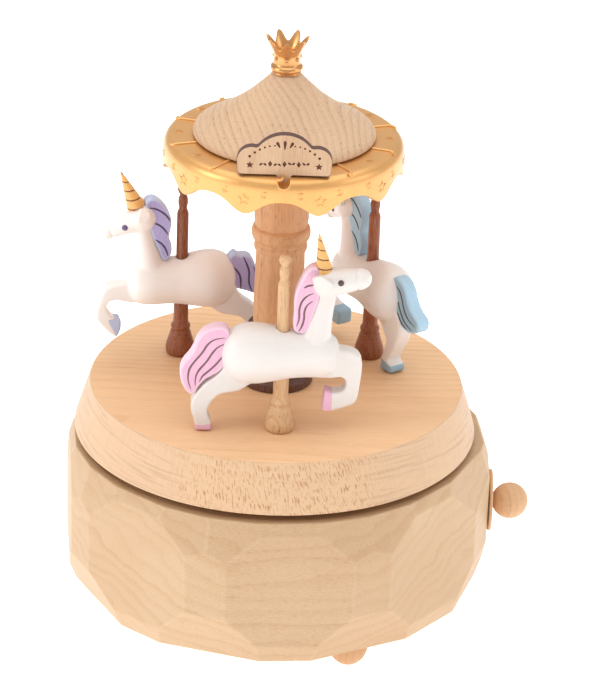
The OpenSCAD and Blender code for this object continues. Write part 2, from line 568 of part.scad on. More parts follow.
hind_a = [[-16.4, 96], [-17.4, 94.6], [-20.6, 92.9], [-22.6, 91.2], [-24.2, 89.2], [-25.6, 87],
    [-26.4, 85],
  [-26.2, 82.5], [-25.2, 79.5], [-24.6, 76.4], [-20.1, 76.4], [-20.4, 79], [-21.4, 81.3],
      [-21.5, 83], [-20, 86],
  [-18, 88.3], [-15, 88.8], [-12.6, 89.2], [-10.4, 90.6], [-8, 92.4], [-6, 96]];
hind_b = [[-15, 96], [-18.2, 93], [-17.2, 87.6], [-15.3, 83.2], [-13.4, 79.6], [-13.1, 76.4],
    [-9.2, 76.4],
  [-9.9, 79.6], [-11.9, 84.1], [-12.4, 87], [-10.6, 88.4], [-8.4, 91.4], [-7.2, 96]];
module hind_part(k) plate2d(plate_t) polygon(k == 1 ? hind_b : hind_a);
fore_a = [[14.5, 103.6], [21, 102.3], [23, 100.8], [23.6, 98.2], [22.9, 91], [22.4, 87],
    [21.4, 85.4], [16, 83.5],
  [14, 83], [12.3, 83.2], [12.8, 89.8], [15.4, 89], [18.8, 90.2], [19, 93.4], [18, 94.2], [14.5, 93.8]];
fore_b = [[14.5, 101.6], [20.6, 99.8], [23.4, 98.4], [25, 95.6], [26, 92], [26.4, 88], [25, 84.4],
    [22.5, 81.6],
  [19.8, 79.4], [18.6, 81], [18.3, 84.6], [20.6, 85.6], [22.2, 88.4], [22.6, 91.4], [21.4, 93.4],
      [19, 94.4],
  [14.5, 94]];
fore_c = [[14.5, 101.6], [21.5, 100.4], [23.6, 99.9], [24.7, 98.1], [25.6, 95.2], [26.6, 92.4],
    [26.4, 89.8],
  [24.8, 87.6], [22.5, 85], [20.3, 83.4], [19.4, 84.8], [18.9, 86.5], [18.9, 89.2], [21, 89.5],
      [22.5, 91.7],
  [23.6, 93.6], [22.6, 95.4], [20.7, 95.9], [16.8, 94.7], [14.5, 94.2]];
module fore_part(k) plate2d(plate_t) polygon(k == 0 ? fore_a : k == 1 ? fore_b : fore_c);
module ear_lie(k, s) translate([ear_at[k][0], s * 4.2, ear_at[k][1]]) rotate([s * 80, 0, 0]) children();
module ear(k) for (s = [-1, 1]) ear_lie(k, s) rotate([0, 0, s * ear_turn[k]])
  translate([0, 0, -0.6]) linear_extrude(height = 1.3) polygon([[-3.6, 0], [-1.4, 1.9],
      [1.2, 1.9], [3.4, 0.3],
    [1.2, -1.6], [-1.4, -1.7]]);
module horn(k) horn_lie(k) {
  cylinder(h = 12.4, r1 = horn_r[k], r2 = 0.35);
  translate([0, 0, -1]) cylinder(h = 1.2, r = 1.2);
}
module eye_lie(k, s) translate(skull[k]) rotate([0, -face_up[k], 0])
  translate([k == 0 ? 4.1 : 6.1, s * (k == 0 ? 3.62 : 3.0), 0.65]) children();
module eye(k) for (s = [-1, 1]) eye_lie(k, s) sphere(r = 0.85, $fn = 32);
module head_part(k) difference() {
  head(k);
  horn_lie(k) {
    cylinder(h = 12.6, r = horn_r[k] + gap);
    translate([0, 0, -1.1]) cylinder(h = 1.3, r = 1.2 + gap);
  }
  for (s = [-1, 1]) eye_lie(k, s) sphere(r = 0.9, $fn = 32);
  for (s = [-1, 1]) ear_lie(k, s) translate([0, 0, -1.6]) cylinder(h = 2.35, r = 3.8);
}
module torso_1() color(white) place(0) torso(0);
module torso_2() color(white) place(1) torso(1);
module torso_3() color(white) place(2) torso(2);
module head_1() color(white) place(0) head_part(0);
module head_2() color(white) place(1) head_part(1);
module head_3() color(white) place(2) head_part(2);
module mane_1() color(mane_c[0]) place(0) mane_part(0);
module mane_2() color(mane_c[1]) place(1) mane_part(1);
module mane_3() color(mane_c[2]) place(2) mane_part(2);
module tail_1() color(mane_c[0]) place(0) tail_part(0);
module tail_2() color(mane_c[1]) place(1) tail_part(1);
module tail_3() color(mane_c[2]) place(2) tail_part(2);
module foreleg_1() color(white) place(0) fore_part(0);
module foreleg_2() color(white) place(1) fore_part(1);
module foreleg_3() color(white) place(2) fore_part(2);
module hindleg_1() color(white) place(0) hind_part(0);
module hindleg_2() color(white) place(1) hind_part(1);
module hindleg_3() color(white) place(2) hind_part(2);
module ears() color(white) for (k = [0:riders - 1]) place(k) ear(k);
module horns() color(gilt) for (k = [0:riders - 1]) place(k) horn(k);
module eyes() color(walnut) for (k = [0:riders - 1]) place(k) eye(k);

base_body();
base_cover();
cover_screws();
ball_feet();
movement_frame();
top_bridge();
frame_screws();
comb();
comb_screws();
winding_bushing();
spindle_bushing();
click();
spring_barrel();
great_wheel();
mainspring();
winding_arbor();
ratchet_wheel();
knob_plate();
knob_ball();
idler_wheel();
fly_arbor();
fly_vanes();
spindle();
pinned_cylinder();
spindle_flange();
flange_screws();
turntable();
pedestal();
column();
canopy_ring();
roof();
crown();
sign_plate();
post_1();
post_2();
post_3();
torso_1();
torso_2();
torso_3();
head_1();
head_2();
head_3();
mane_1();
mane_2();
mane_3();
tail_1();
tail_2();
tail_3();
foreleg_1();
foreleg_2();
foreleg_3();
hindleg_1();
hindleg_2();
hindleg_3();
ears();
horns();
eyes();
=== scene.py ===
import math

import bmesh
import bpy
import numpy as np
from mathutils import Matrix, Quaternion, Vector


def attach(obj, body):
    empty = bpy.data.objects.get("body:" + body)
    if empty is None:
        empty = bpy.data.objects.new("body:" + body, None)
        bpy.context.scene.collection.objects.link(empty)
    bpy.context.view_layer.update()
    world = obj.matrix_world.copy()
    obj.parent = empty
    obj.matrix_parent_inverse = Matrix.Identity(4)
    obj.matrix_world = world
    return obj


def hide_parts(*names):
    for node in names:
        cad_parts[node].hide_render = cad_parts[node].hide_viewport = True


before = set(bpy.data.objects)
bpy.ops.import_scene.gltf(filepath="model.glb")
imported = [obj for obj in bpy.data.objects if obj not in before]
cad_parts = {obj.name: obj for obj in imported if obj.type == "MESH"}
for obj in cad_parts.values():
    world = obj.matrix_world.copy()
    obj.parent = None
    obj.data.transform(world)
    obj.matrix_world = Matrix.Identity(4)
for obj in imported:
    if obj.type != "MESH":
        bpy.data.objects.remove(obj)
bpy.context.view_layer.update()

MM = 0.001
SCN = bpy.context.scene

# ------------------------------------------------------------------------------------------
# Dimensions in millimetres, as in the CAD
# ------------------------------------------------------------------------------------------
VOXEL = 0.27                                # remesh size of the unicorn bodies
POST_AT = 34.0
POST_AZ = [2.5, 123.8, 241.3]              # direction of each post from the front
HEADING = [2.5, 125.0, 192.0]              # direction of each unicorn's heading from +X
FACET_TURN, FACET_A, EDGE_T = 5.5, 62.4, 19.1
BASE_Z0, BASE_Z1, BASE_FOOT = 12.0, 58.6, 60.2
WIDE_OUT = [0, 0, 2.6, 0, 0, 0, 0, 0]
NARROW_OUT = [0, 0.9, 0.3, 0, 0, 0, 0, 0]
CORNER_IN = [58.5, 61.4, 59, 58.5, 58.5, 58.5, 58.4, 58.6]
TABLE = (61.0, 76.0, 61.0, 56.4)            # z0, z1, lower radius, upper radius
CANOPY_R, CANOPY_Z, SCALLOP_Z, VALLEY_Z, SCALLOPS = 35.6, 155.6, 144.3, 148.6, 10
CROWN_N, CROWN_TURN = 7, -2.0
WIND_Z, KNOB_X, PLATE_R, PLATE_T, BALL_X, BALL_R = 37.2, 66.5, 9.5, 1.1, 73.2, 5.6
FOOT_AT, FOOT_TURN = 45.0, 33.0


def srgb(r, g, b, k=1.0):
    """Display colour 0..255 to a linear colour, times k."""
    def one(c):
        c = c / 255.0
        return (c / 12.92 if c <= 0.04045 else ((c + 0.055) / 1.055) ** 2.4) * k
    return (one(r), one(g), one(b), 1.0)


# ------------------------------------------------------------------------------------------
# Node materials
# ------------------------------------------------------------------------------------------
class Mat:
    def __init__(self, name):
        self.mat = bpy.data.materials.new(name)
        self.mat.use_nodes = True
        self.nt = self.mat.node_tree
        self.nt.nodes.clear()
        out = self.node("ShaderNodeOutputMaterial")
        self.bsdf = self.node("ShaderNodeBsdfPrincipled")
        self.nt.links.new(self.bsdf.outputs[0], out.inputs[0])

    def node(self, kind, **props):
        n = self.nt.nodes.new(kind)
        for k, v in props.items():
            setattr(n, k, v)
        return n

    def put(self, sock, value):
        if isinstance(value, bpy.types.NodeSocket):
            self.nt.links.new(value, sock)
        else:
            sock.default_value = value

    def math(self, op, a, b=None, c=None, clamp=False):
        n = self.node("ShaderNodeMath", operation=op, use_clamp=clamp)
        for i, v in enumerate((a, b, c)):
            if v is not None:
                self.put(n.inputs[i], v)
        return n.outputs[0]

    def mul(self, a, b, clamp=False):
        return self.math("MULTIPLY", a, b, clamp=clamp)

    def add(self, a, b):
        return self.math("ADD", a, b)

    def sub(self, a, b):
        return self.math("SUBTRACT", a, b)

    def vec(self, op, a, b=None, scale=None):
        n = self.node("ShaderNodeVectorMath", operation=op)
        self.put(n.inputs[0], a)
        if b is not None:
            self.put(n.inputs[1], b)
        if scale is not None:
            self.put(n.inputs["Scale"], scale)
        return n.outputs["Value"] if op in ("LENGTH", "DOT_PRODUCT", "DISTANCE") else n.outputs[0]

    def xyz(self, v):
        n = self.node("ShaderNodeSeparateXYZ")
        self.put(n.inputs[0], v)
        return n.outputs[0], n.outputs[1], n.outputs[2]

    def combine(self, x, y, z):
        n = self.node("ShaderNodeCombineXYZ")
        for i, v in enumerate((x, y, z)):
            self.put(n.inputs[i], v)
        return n.outputs[0]

    def mm(self):
        """Object coordinates in millimetres."""
        return self.vec("SCALE", self.node("ShaderNodeTexCoord").outputs["Object"], scale=1000.0)

    def attr(self, name):
        return self.node("ShaderNodeAttribute", attribute_name=name).outputs["Vector"]

    def noise(self, v, scale=1.0, detail=3.0, rough=0.55, distort=0.0):
        n = self.node("ShaderNodeTexNoise")
        self.put(n.inputs["Vector"], v)
        n.inputs["Scale"].default_value = scale
        n.inputs["Detail"].default_value = detail
        n.inputs["Roughness"].default_value = rough
        n.inputs["Distortion"].default_value = distort
        return n.outputs[0]

    def stretch(self, v, sx, sy, sz):
        return self.vec("MULTIPLY", v, (sx, sy, sz))

    def step(self, v, lo, hi):
        n = self.node("ShaderNodeMapRange", interpolation_type="SMOOTHSTEP")
        self.put(n.inputs["Value"], v)
        n.inputs["From Min"].default_value = lo
        n.inputs["From Max"].default_value = hi
        return n.outputs[0]

    def remap(self, v, a, b, c, d):
        n = self.node("ShaderNodeMapRange")
        self.put(n.inputs["Value"], v)
        for key, val in zip(("From Min", "From Max", "To Min", "To Max"), (a, b, c, d)):
            n.inputs[key].default_value = val
        return n.outputs[0]

    def mix(self, fac, a, b, mode="MIX"):
        n = self.node("ShaderNodeMix", data_type="RGBA", blend_type=mode)
        self.put(n.inputs[0], fac)
        self.put(n.inputs[6], a)
        self.put(n.inputs[7], b)
        return n.outputs[2]

    def bump(self, height, strength=0.3, dist=0.1, normal=None):
        n = self.node("ShaderNodeBump")
        n.inputs["Strength"].default_value = strength
        n.inputs["Distance"].default_value = dist * MM
        self.put(n.inputs["Height"], height)
        if normal is not None:
            self.put(n.inputs["Normal"], normal)
        self.put(self.bsdf.inputs["Normal"], n.outputs[0])
        return n.outputs[0]

    def done(self, color=None, rough=None, **const):
        if color is not None:
            self.put(self.bsdf.inputs["Base Color"], color)
        if rough is not None:
            self.put(self.bsdf.inputs["Roughness"], rough)
        for k, v in const.items():
            self.bsdf.inputs[k.replace("_", " ")].default_value = v
        return self.mat


def along(m, v, axis):
    """Coordinates reordered so that the grain runs along their first axis."""
    x, y, z = m.xyz(v)
    return {"X": m.combine(x, y, z), "Y": m.combine(y, x, z), "Z": m.combine(z, y, x)}[axis]


def wood(name, light, dark, pore, axis="X", pith=(18.0, -70.0), ring=3.0, contrast=0.5, wobble=5.0,
        pores=0.5, pore_len=0.35, pore_fine=7.0, streak=0.25, blotch=0.25, rough=0.5, bump=0.25, tilt=0.0,
        extra=None):
    """Solid wood: growth rings round a pith line, fibres, pores and slow colour drift."""
    m = Mat(name)
    v = m.mm()
    g = along(m, v, axis)
    if tilt:
        n = m.node("ShaderNodeMapping")
        n.inputs["Rotation"].default_value = (0.0, tilt, tilt * 0.7)
        m.put(n.inputs["Vector"], g)
        g = n.outputs[0]
    _, gy, gz = m.xyz(g)
    w1 = m.noise(m.stretch(g, 0.010, 0.045, 0.045), 1.0, 2.0)
    w2 = m.noise(m.stretch(g, 0.035, 0.25, 0.25), 1.0, 2.0)
    shift = m.add(m.mul(m.sub(w1, 0.5), wobble * 4.0),
        m.mul(m.sub(w2, 0.5), wobble * 0.6))
    yy = m.sub(gy, pith[0])
    zz = m.sub(gz, pith[1])
    r = m.math("SQRT", m.add(m.mul(yy, yy), m.mul(zz, zz)))
    phase = m.math("DIVIDE", m.add(r, shift), ring)
    saw = m.math("FRACT", phase)
    late = m.mul(m.step(saw, 0.35, 0.93), m.sub(1.0, m.step(saw, 0.955, 1.0)))
    each = m.node("ShaderNodeTexWhiteNoise", noise_dimensions="1D")
    m.put(each.inputs["W"], m.math("FLOOR", phase))
    late = m.mul(late, m.remap(each.outputs[0], 0, 1, 0.35, 1.0))
    fibre = m.noise(m.stretch(g, 0.10, 3.4, 3.4), 1.0, 4.0, 0.6)
    fine = m.noise(m.stretch(g, 0.30, 9.0, 9.0), 1.0, 2.0, 0.5)
    pn = m.noise(m.stretch(g, pore_len, pore_fine, pore_fine), 1.0, 1.0, 0.4)
    pmask = m.mul(m.step(pn, 0.60, 0.72), m.remap(late, 0, 1, 0.45, 1.0))
    drift = m.noise(m.stretch(g, 0.012, 0.03, 0.03), 1.0, 2.0)
    col = m.mix(m.mul(late, contrast), light, dark)
    col = m.mix(m.mul(m.step(fibre, 0.38, 0.72), streak), col, dark)
    col = m.mix(m.mul(m.step(drift, 0.35, 0.7), blotch), col, dark)
    col = m.mix(m.mul(m.step(fine, 0.62, 0.30), 0.10), col, (1, 0.97, 0.92, 1))
    col = m.mix(m.mul(pmask, pores), col, pore)
    height = m.sub(m.mul(fibre, 0.35), m.add(m.mul(pmask, 0.7),
        m.mul(late, 0.12)))
    if extra:
        col, height = extra(m, v, col, height)
    m.bump(height, bump, 0.12)
    rr = m.add(m.mul(fibre, 0.16), rough - 0.08)
    return m.done(col, rr, Specular_IOR_Level=0.30, Coat_Weight=0.03, Coat_Roughness=0.35)


def bevel_figure(m, v, col, height):
    """End grain and ray flecks on the turned bevel, laid out round the axis, with a paler painted sheen on
    its sides.
    """
    x, y, z = m.xyz(v)
    az = m.math("ARCTAN2", x, m.mul(y, -1.0))
    s = m.mul(az, 59.0)
    front = m.step(m.math("ABSOLUTE", m.math("COSINE", m.sub(az, 0.03))), 0.80, 0.95)
    side = m.sub(1.0, front)
    tilted = m.add(s, m.mul(z, 0.22))
    fl = m.noise(m.combine(m.mul(tilted, 2.2), m.mul(z, 0.45), 3.0), 1.0, 1.0, 0.5)
    clump = m.noise(m.combine(m.mul(s, 0.16), m.mul(z, 0.3), 9.0), 1.0, 2.0)
    fleck = m.mul(m.mul(m.step(fl, 0.55, 0.63), front), m.remap(clump, 0.3, 0.7, 0.25, 1.0), clamp=True)
    big = m.noise(m.combine(m.mul(tilted, 0.55), m.mul(z, 0.9), 21.0), 1.0, 2.0)
    fleck2 = m.mul(m.step(big, 0.69, 0.76), front)
    lines = m.noise(m.combine(m.mul(s, 2.0), m.mul(z, 0.05), 5.0), 1.0, 3.0, 0.7)
    cross = m.noise(m.combine(m.mul(s, 0.04), m.mul(m.add(z, m.mul(s, 0.06)), 0.95), 7.0), 1.0, 3.0, 0.6)
    col = m.mix(m.mul(m.step(lines, 0.45, 0.70), m.remap(side, 0, 1, 0.12, 0.42)), col, srgb(196, 158, 124))
    col = m.mix(m.mul(m.step(cross, 0.50, 0.66), m.mul(side, 0.55)), col, srgb(172, 132, 100))
    # paler painted sheen on the sides of the bevel
    col = m.mix(m.mul(side, 0.30), col, srgb(212, 180, 152))
    col = m.mix(m.mul(fleck, 0.78), col, srgb(168, 106, 64))
    col = m.mix(m.mul(fleck2, 0.5), col, srgb(150, 92, 56))
    height = m.sub(height, m.add(m.mul(fleck, 0.8), m.mul(lines, m.mul(side, 0.6))))
    return col, height


def facet_shade_and_highlight(m, v, col, height):
    """Painted shade a little different on each facet, a paler painted highlight along the edges, fine short
    specks.
    """
    t = m.node("ShaderNodeAttribute", attribute_name="tone").outputs["Fac"]
    speck = m.noise(m.stretch(v, 1.2, 6.0, 6.0), 1.0, 1.0, 0.4)
    col = m.mix(m.remap(t, 0, 1, 0.24, 0.0), col, srgb(200, 152, 110, .74))
    col = m.mix(m.mul(m.step(speck, 0.60, 0.70), 0.22), col, srgb(186, 136, 92, .8))
    return col, height


def paint(name, color, dark, rough=0.42, grain=0.25, bump=0.2, space="object", axis="X", soft=0.0, coat=0.12):
    """Satin paint over wood: slight mottling, a hint of the grain below, tiny roller texture."""
    m = Mat(name)
    v = m.mm() if space == "object" else m.attr("loc")
    g = along(m, v, axis)
    fib = m.noise(m.stretch(g, 0.16, 2.8, 2.8), 1.0, 3.0, 0.6)
    blot = m.noise(v, 0.10, 3.0)
    peel = m.noise(v, 2.6, 2.0, 0.5)
    speck = m.noise(v, 7.5, 1.0, 0.5)
    col = m.mix(m.mul(m.step(fib, 0.42, 0.75), grain), color, dark)
    col = m.mix(m.mul(m.step(blot, 0.35, 0.75), 0.22), col, dark)
    col = m.mix(m.mul(m.step(speck, 0.62, 0.74), 0.10), col, dark)
    h = m.add(m.mul(peel, 0.55), m.mul(fib, 0.45))
    m.bump(h, bump, 0.08)
    rr = m.add(m.mul(peel, 0.14), rough - 0.07)
    return m.done(col, rr, Specular_IOR_Level=0.45, Coat_Weight=coat, Coat_Roughness=0.3,
        Subsurface_Weight=soft, Subsurface_Scale=0.0012)


def gilt(name, color, deep, rough=0.36, metal=0.50, sparkle=0.12, bump=0.22):
    """Pearly gold paint: fine flake and a slow colour drift towards a deeper gold."""
    m = Mat(name)
    v = m.mm()
    flake = m.node("ShaderNodeTexVoronoi", feature="F1")
    m.put(flake.inputs["Vector"], v)
    flake.inputs["Scale"].default_value = 5.0
    drift = m.noise(v, 0.09, 3.0)
    brush = m.noise(v, 1.3, 3.0)
    col = m.mix(m.mul(m.step(drift, 0.35, 0.75), 0.35), color, deep)
    col = m.mix(m.mul(flake.outputs["Color"], sparkle), col, (1.0, 0.86, 0.60, 1))
    m.bump(m.add(m.mul(brush, 0.7), m.mul(flake.outputs["Distance"], 0.25)), bump, 0.10)
    rr = m.add(m.mul(brush, 0.16), rough - 0.08)
    return m.done(col, rr, Metallic=metal, Specular_IOR_Level=0.5, Coat_Weight=0.25, Coat_Roughness=0.22)


def metal(name, color, dark, rough=0.3, axis="Z"):
    m = Mat(name)
    g = along(m, m.mm(), axis)
    brush = m.noise(m.stretch(g, 6.0, 0.5, 0.5), 1.0, 4.0, 0.6)
    stain = m.noise(g, 0.25, 3.0)
    col = m.mix(m.mul(m.step(stain, 0.4, 0.8), 0.5), color, dark)
    m.bump(brush, 0.15, 0.03)
    rr = m.add(m.mul(brush, 0.22), rough - 0.1)
    return m.done(col, rr, Metallic=1.0)


MAPLE = wood("maple_base", srgb(235, 200, 158, .73), srgb(210, 162, 112, .73), srgb(180, 128, 82, .72), "X",
    pith=(60, -150), ring=4.2, contrast=0.42, wobble=5, pores=0.50, pore_len=0.25, pore_fine=4.4,
    streak=0.20, blotch=0.30, rough=0.48, bump=0.18, extra=facet_shade_and_highlight)
BEECH_TOP = wood("beech_table_top", srgb(242, 197, 150, .94), srgb(224, 172, 120, .94),
    srgb(192, 136, 86, .92), "X",
    pith=(-30, 30), ring=2.3, contrast=0.62, wobble=2, pores=0.45, pore_len=0.16, pore_fine=5.6,
    streak=0.26, blotch=0.25, rough=0.40, bump=0.16)
BEECH_BEVEL = wood("beech_table_bevel", srgb(236, 196, 154, .83), srgb(218, 170, 124, .83),
    srgb(192, 144, 100, .83), "X",
    pith=(-30, 30), ring=3.6, contrast=0.25, wobble=4, pores=0.10, streak=0.10, blotch=0.15,
    rough=0.50, bump=0.30, extra=bevel_figure)
BEECH_COLUMN = wood("beech_column", srgb(230, 174, 122, .88), srgb(196, 134, 82, .88),
    srgb(144, 86, 44, .84), "Z",
    pith=(-40, 30), ring=3.2, contrast=0.40, wobble=3, pores=0.55, pore_len=0.35, pore_fine=3.6,
    streak=0.40, blotch=0.2, rough=0.5, bump=0.28)
BEECH_ROOF = wood("beech_roof", srgb(230, 192, 154, .82), srgb(190, 142, 100, .82), srgb(150, 102, 64, .8),
    "Y",
    pith=(-34, 140), ring=1.8, contrast=0.50, wobble=1.0, pores=0.55, pore_len=0.42, pore_fine=2.4,
    streak=0.25, blotch=0.12, rough=0.5, bump=0.25)
BEECH_SIGN = wood("beech_sign", srgb(224, 184, 146, .83), srgb(194, 148, 108, .83), srgb(160, 114, 76, .83),
    "Z",
    pith=(-60, 10), ring=3.4, contrast=0.45, wobble=3, pores=0.35, streak=0.25, blotch=0.2, rough=0.55,
    bump=0.2)
BEECH_SMALL = wood("beech_small", srgb(222, 176, 130, .92), srgb(196, 146, 100, .92),
    srgb(160, 112, 72, .9), "Z",
    pith=(-30, -20), ring=2.2, contrast=0.4, wobble=2, pores=0.5, pore_len=0.4, pore_fine=4.5,
    streak=0.35, blotch=0.15, rough=0.48, bump=0.25)
BEECH_POST = wood("beech_post", srgb(232, 188, 140, .88), srgb(190, 138, 86, .88), srgb(140, 90, 50, .85),
    "Z",
    pith=(-20, 10), ring=1.4, contrast=0.35, wobble=1.5, pores=0.75, pore_len=0.30, pore_fine=3.4,
    streak=0.45, blotch=0.15, rough=0.55, bump=0.5)
STAINED = wood("stained_post", srgb(158, 84, 36, 1.0), srgb(102, 46, 18, .9), srgb(50, 20, 8, .85), "Z",
    pith=(-20, 10), ring=1.6, contrast=0.45, wobble=1.5, pores=0.7, pore_len=0.30, pore_fine=3.6,
    streak=0.5, blotch=0.3, rough=0.40, bump=0.4)
WALNUT = wood("walnut_pedestal", srgb(102, 52, 28, .9), srgb(66, 30, 16, .85), srgb(32, 14, 8, .8), "Z",
    pith=(-20, 14), ring=2.0, contrast=0.5, wobble=2, pores=0.6, pore_len=0.30, pore_fine=3.6,
    streak=0.5, blotch=0.3, rough=0.42, bump=0.3)
GILT = gilt("gilt_canopy", srgb(233, 171, 94, .95), srgb(208, 143, 70, .95), metal=0.58)
GILT_CROWN = gilt("gilt_crown", srgb(222, 162, 98), srgb(186, 122, 64), rough=0.25, metal=0.75,
    sparkle=0.06, bump=0.12)
STEEL = metal("steel", (0.62, 0.62, 0.64, 1), (0.48, 0.47, 0.47, 1))
BRASS = metal("brass", (0.80, 0.60, 0.26, 1), (0.62, 0.43, 0.16, 1))
# one white paint in three brightnesses: painted shade on the well lit front unicorn, painted light on the
# shaded left one
WHITES = [paint("white_paint_" + tag, srgb(250, 243, 238, k), srgb(238, 224, 214, k), space="loc",
    grain=0.15, bump=0.16, soft=0.08)
    for tag, k in (("front", .80), ("right", .88), ("left", .96))]
BURNT = paint("burnt_edge", srgb(98, 70, 62), srgb(66, 44, 38), rough=0.62, grain=0.6, bump=0.5, coat=0.0)
ENGRAVED = paint("engraved_line", srgb(112, 62, 42), srgb(74, 38, 26), rough=0.75, grain=0.5, bump=0.5,
    coat=0.0)
EYE = paint("eye_bead", srgb(70, 32, 22), srgb(36, 16, 12), rough=0.16, grain=0.1, bump=0.05, coat=0.8)
EYE_MAUVE = paint("eye_mauve", srgb(96, 84, 124), srgb(64, 54, 92), rough=0.22, grain=0.1, bump=0.05,
    coat=0.8)


def mane_paint(tag, face, face_dark, edge, line):
    return (paint("mane_" + tag, face, face_dark, rough=0.5, grain=0.35, bump=0.3, space="loc", axis="Z"),
            paint("mane_edge_" + tag, edge, face, rough=0.5, grain=0.25, bump=0.3, space="loc", axis="Z"),
            paint("mane_line_" + tag, line, tuple(c * 0.6 for c in line[:3]) + (1,), rough=0.7, grain=0.5,
                bump=0.4, space="loc", coat=0.0),
            paint("hoof_" + tag, edge if tag == "lavender" else face, face_dark, rough=0.5, grain=0.2,
                bump=0.2, space="loc"))


MANES = [
    mane_paint("pink", srgb(236, 186, 210, .95), srgb(216, 158, 186, .95), srgb(240, 206, 220, .94),
        srgb(142, 108, 114)),
    mane_paint("blue", srgb(160, 192, 210, .95), srgb(132, 166, 186, .95), srgb(176, 208, 228, .97),
        srgb(92, 70, 66)),
    mane_paint("lavender", srgb(186, 178, 228, .98), srgb(158, 148, 204, .96), srgb(196, 208, 234, .98),
        srgb(98, 88, 122)),
]


# ------------------------------------------------------------------------------------------
# Mesh helpers (all in millimetres until place() makes the object)
# ------------------------------------------------------------------------------------------
def to_mesh(name, verts, faces, idx=None):
    me = bpy.data.meshes.new(name)
    me.from_pydata([tuple(float(c) for c in v) for v in verts], [], [tuple(int(i) for i in f) for f in faces])
    if idx is not None:
        me.polygons.foreach_set("material_index", np.array(idx, np.int32))
    me.update()
    return me


def shade(me, angle=35.0):
    """Smooth shading with edges sharper than angle kept crisp."""
    bm = bmesh.new()
    bm.from_mesh(me)
    bmesh.ops.recalc_face_normals(bm, faces=bm.faces)
    lim = math.radians(angle)
    for f in bm.faces:
        f.smooth = True
    for e in bm.edges:
        e.smooth = not (len(e.link_faces) == 2 and e.calc_face_angle(0.0) > lim)
    bm.to_mesh(me)
    bm.free()
    me.update()


def row_faces(rows, m):
    """Quads round a closed ring of profiles, each of m points starting at the index in rows."""
    return [(a + k, b + k, b + (k + 1) % m, a + (k + 1) % m)
            for a, b in zip(rows, rows[1:] + rows[:1]) for k in range(m)]


def coords(me):
    """Vertex positions as an array of rows."""
    co = np.zeros(len(me.vertices) * 3, np.float32)
    me.vertices.foreach_get("co", co)
    return co.reshape(-1, 3)


def indices(me):
    """Material index of each face."""
    idx = np.zeros(len(me.polygons), np.int32)
    me.polygons.foreach_get("material_index", idx)
    return idx


def obj_of(name, me, mats=()):
    o = bpy.data.objects.new(name, me)
    SCN.collection.objects.link(o)
    for mt in mats:
        me.materials.append(mt)
    return o


def bake(o):
    """The object's mesh with its modifiers applied."""
    dg = bpy.context.evaluated_depsgraph_get()
    me = bpy.data.meshes.new_from_object(o.evaluated_get(dg))
    o.modifiers.clear()
    old = o.data
    o.data = me
    bpy.data.meshes.remove(old)
    return me


def place(name, me, mats, body, nodes=(), slot=None, angle=35.0, matrix=None, tag_local=False, flat=True):
    """Makes the piece: millimetres to metres, shading, materials, its body and the nodes it stands for."""
    if tag_local:
        me.attributes.new("loc", "FLOAT_VECTOR", "POINT").data.foreach_set("vector", coords(me).ravel())
    if matrix is not None:
        me.transform(matrix)
    me.transform(Matrix.Scale(MM, 4))
    shade(me, angle)
    me.materials.clear()
    o = obj_of(name, me, mats)
    if flat:
        wn = o.modifiers.new("flat_faces", "WEIGHTED_NORMAL")
        wn.mode, wn.weight, wn.keep_sharp = "FACE_AREA", 100, True
    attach(o, body)
    if nodes:
        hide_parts(*nodes)
    return o


def chaikin(p, n=2, closed=False, k=0.25):
    p = [np.array(q, float) for q in p]
    for _ in range(n):
        q = []
        m = len(p)
        rng = range(m) if closed else range(m - 1)
        if not closed:
            q.append(p[0])
        for i in rng:
            a, b = p[i], p[(i + 1) % m]
            q.append(a * (1 - k) + b * k)
            q.append(a * k + b * (1 - k))
        if not closed:
            q.append(p[-1])
        p = q
    return p


def lathe_data(profile, segs=128, centre=(0.0, 0.0)):
    verts, faces, rings = [], [], []
    for r, z in profile:
        if r < 1e-6:
            rings.append([len(verts)])
            verts.append((centre[0], centre[1], z))
        else:
            rings.append(list(range(len(verts), len(verts) + segs)))
            for i in range(segs):
                a = 2 * math.pi * i / segs
                verts.append((centre[0] + r * math.sin(a), centre[1] - r * math.cos(a), z))
    for a, b in zip(rings, rings[1:]):
        for i in range(segs):
            j = (i + 1) % segs
            if len(a) == 1 and len(b) == 1:
                continue
            if len(a) == 1:
                faces.append((a[0], b[j], b[i]))
            elif len(b) == 1:
                faces.append((a[i], a[j], b[0]))
            else:
                faces.append((a[i], a[j], b[j], b[i]))
    return verts, faces


def lathe(name, profile, segs=128, centre=(0.0, 0.0), rounds=2):
    v, f = lathe_data(chaikin(profile, rounds) if rounds else profile, segs, centre)
    return to_mesh(name, v, f)


def merge(name, datas):
    """Joins (verts, faces) or (verts, faces, index) lists into one mesh."""
    V, F, I = [], [], []
    for d in datas:
        off = len(V)
        V += [tuple(v) for v in d[0]]
        F += [tuple(i + off for i in f) for f in d[1]]
        I += list(d[2]) if len(d) > 2 else [0] * len(d[1])
    return to_mesh(name, V, F, I)


def inset(p, d):
    """A closed outline (counter-clockwise) moved inwards by d along its corner normals."""
    p = np.array(p, float)
    a = np.roll(p, 1, 0)
    b = np.roll(p, -1, 0)
    t1 = p - a
    t2 = b - p
    t1 /= np.linalg.norm(t1, axis=1)[:, None]
    t2 /= np.linalg.norm(t2, axis=1)[:, None]
    n = np.stack([-(t1 + t2)[:, 1], (t1 + t2)[:, 0]], 1)
    n /= np.linalg.norm(n, axis=1)[:, None]
    c = np.clip((n * np.stack([-t1[:, 1], t1[:, 0]], 1)).sum(1), 0.5, 1)
    return p + n * (d / c)[:, None]


def ccw(p):
    p = np.array(p, float)
    area = (p[:, 0] * np.roll(p[:, 1], -1) - np.roll(p[:, 0], -1) * p[:, 1]).sum()
    return p if area > 0 else p[::-1]


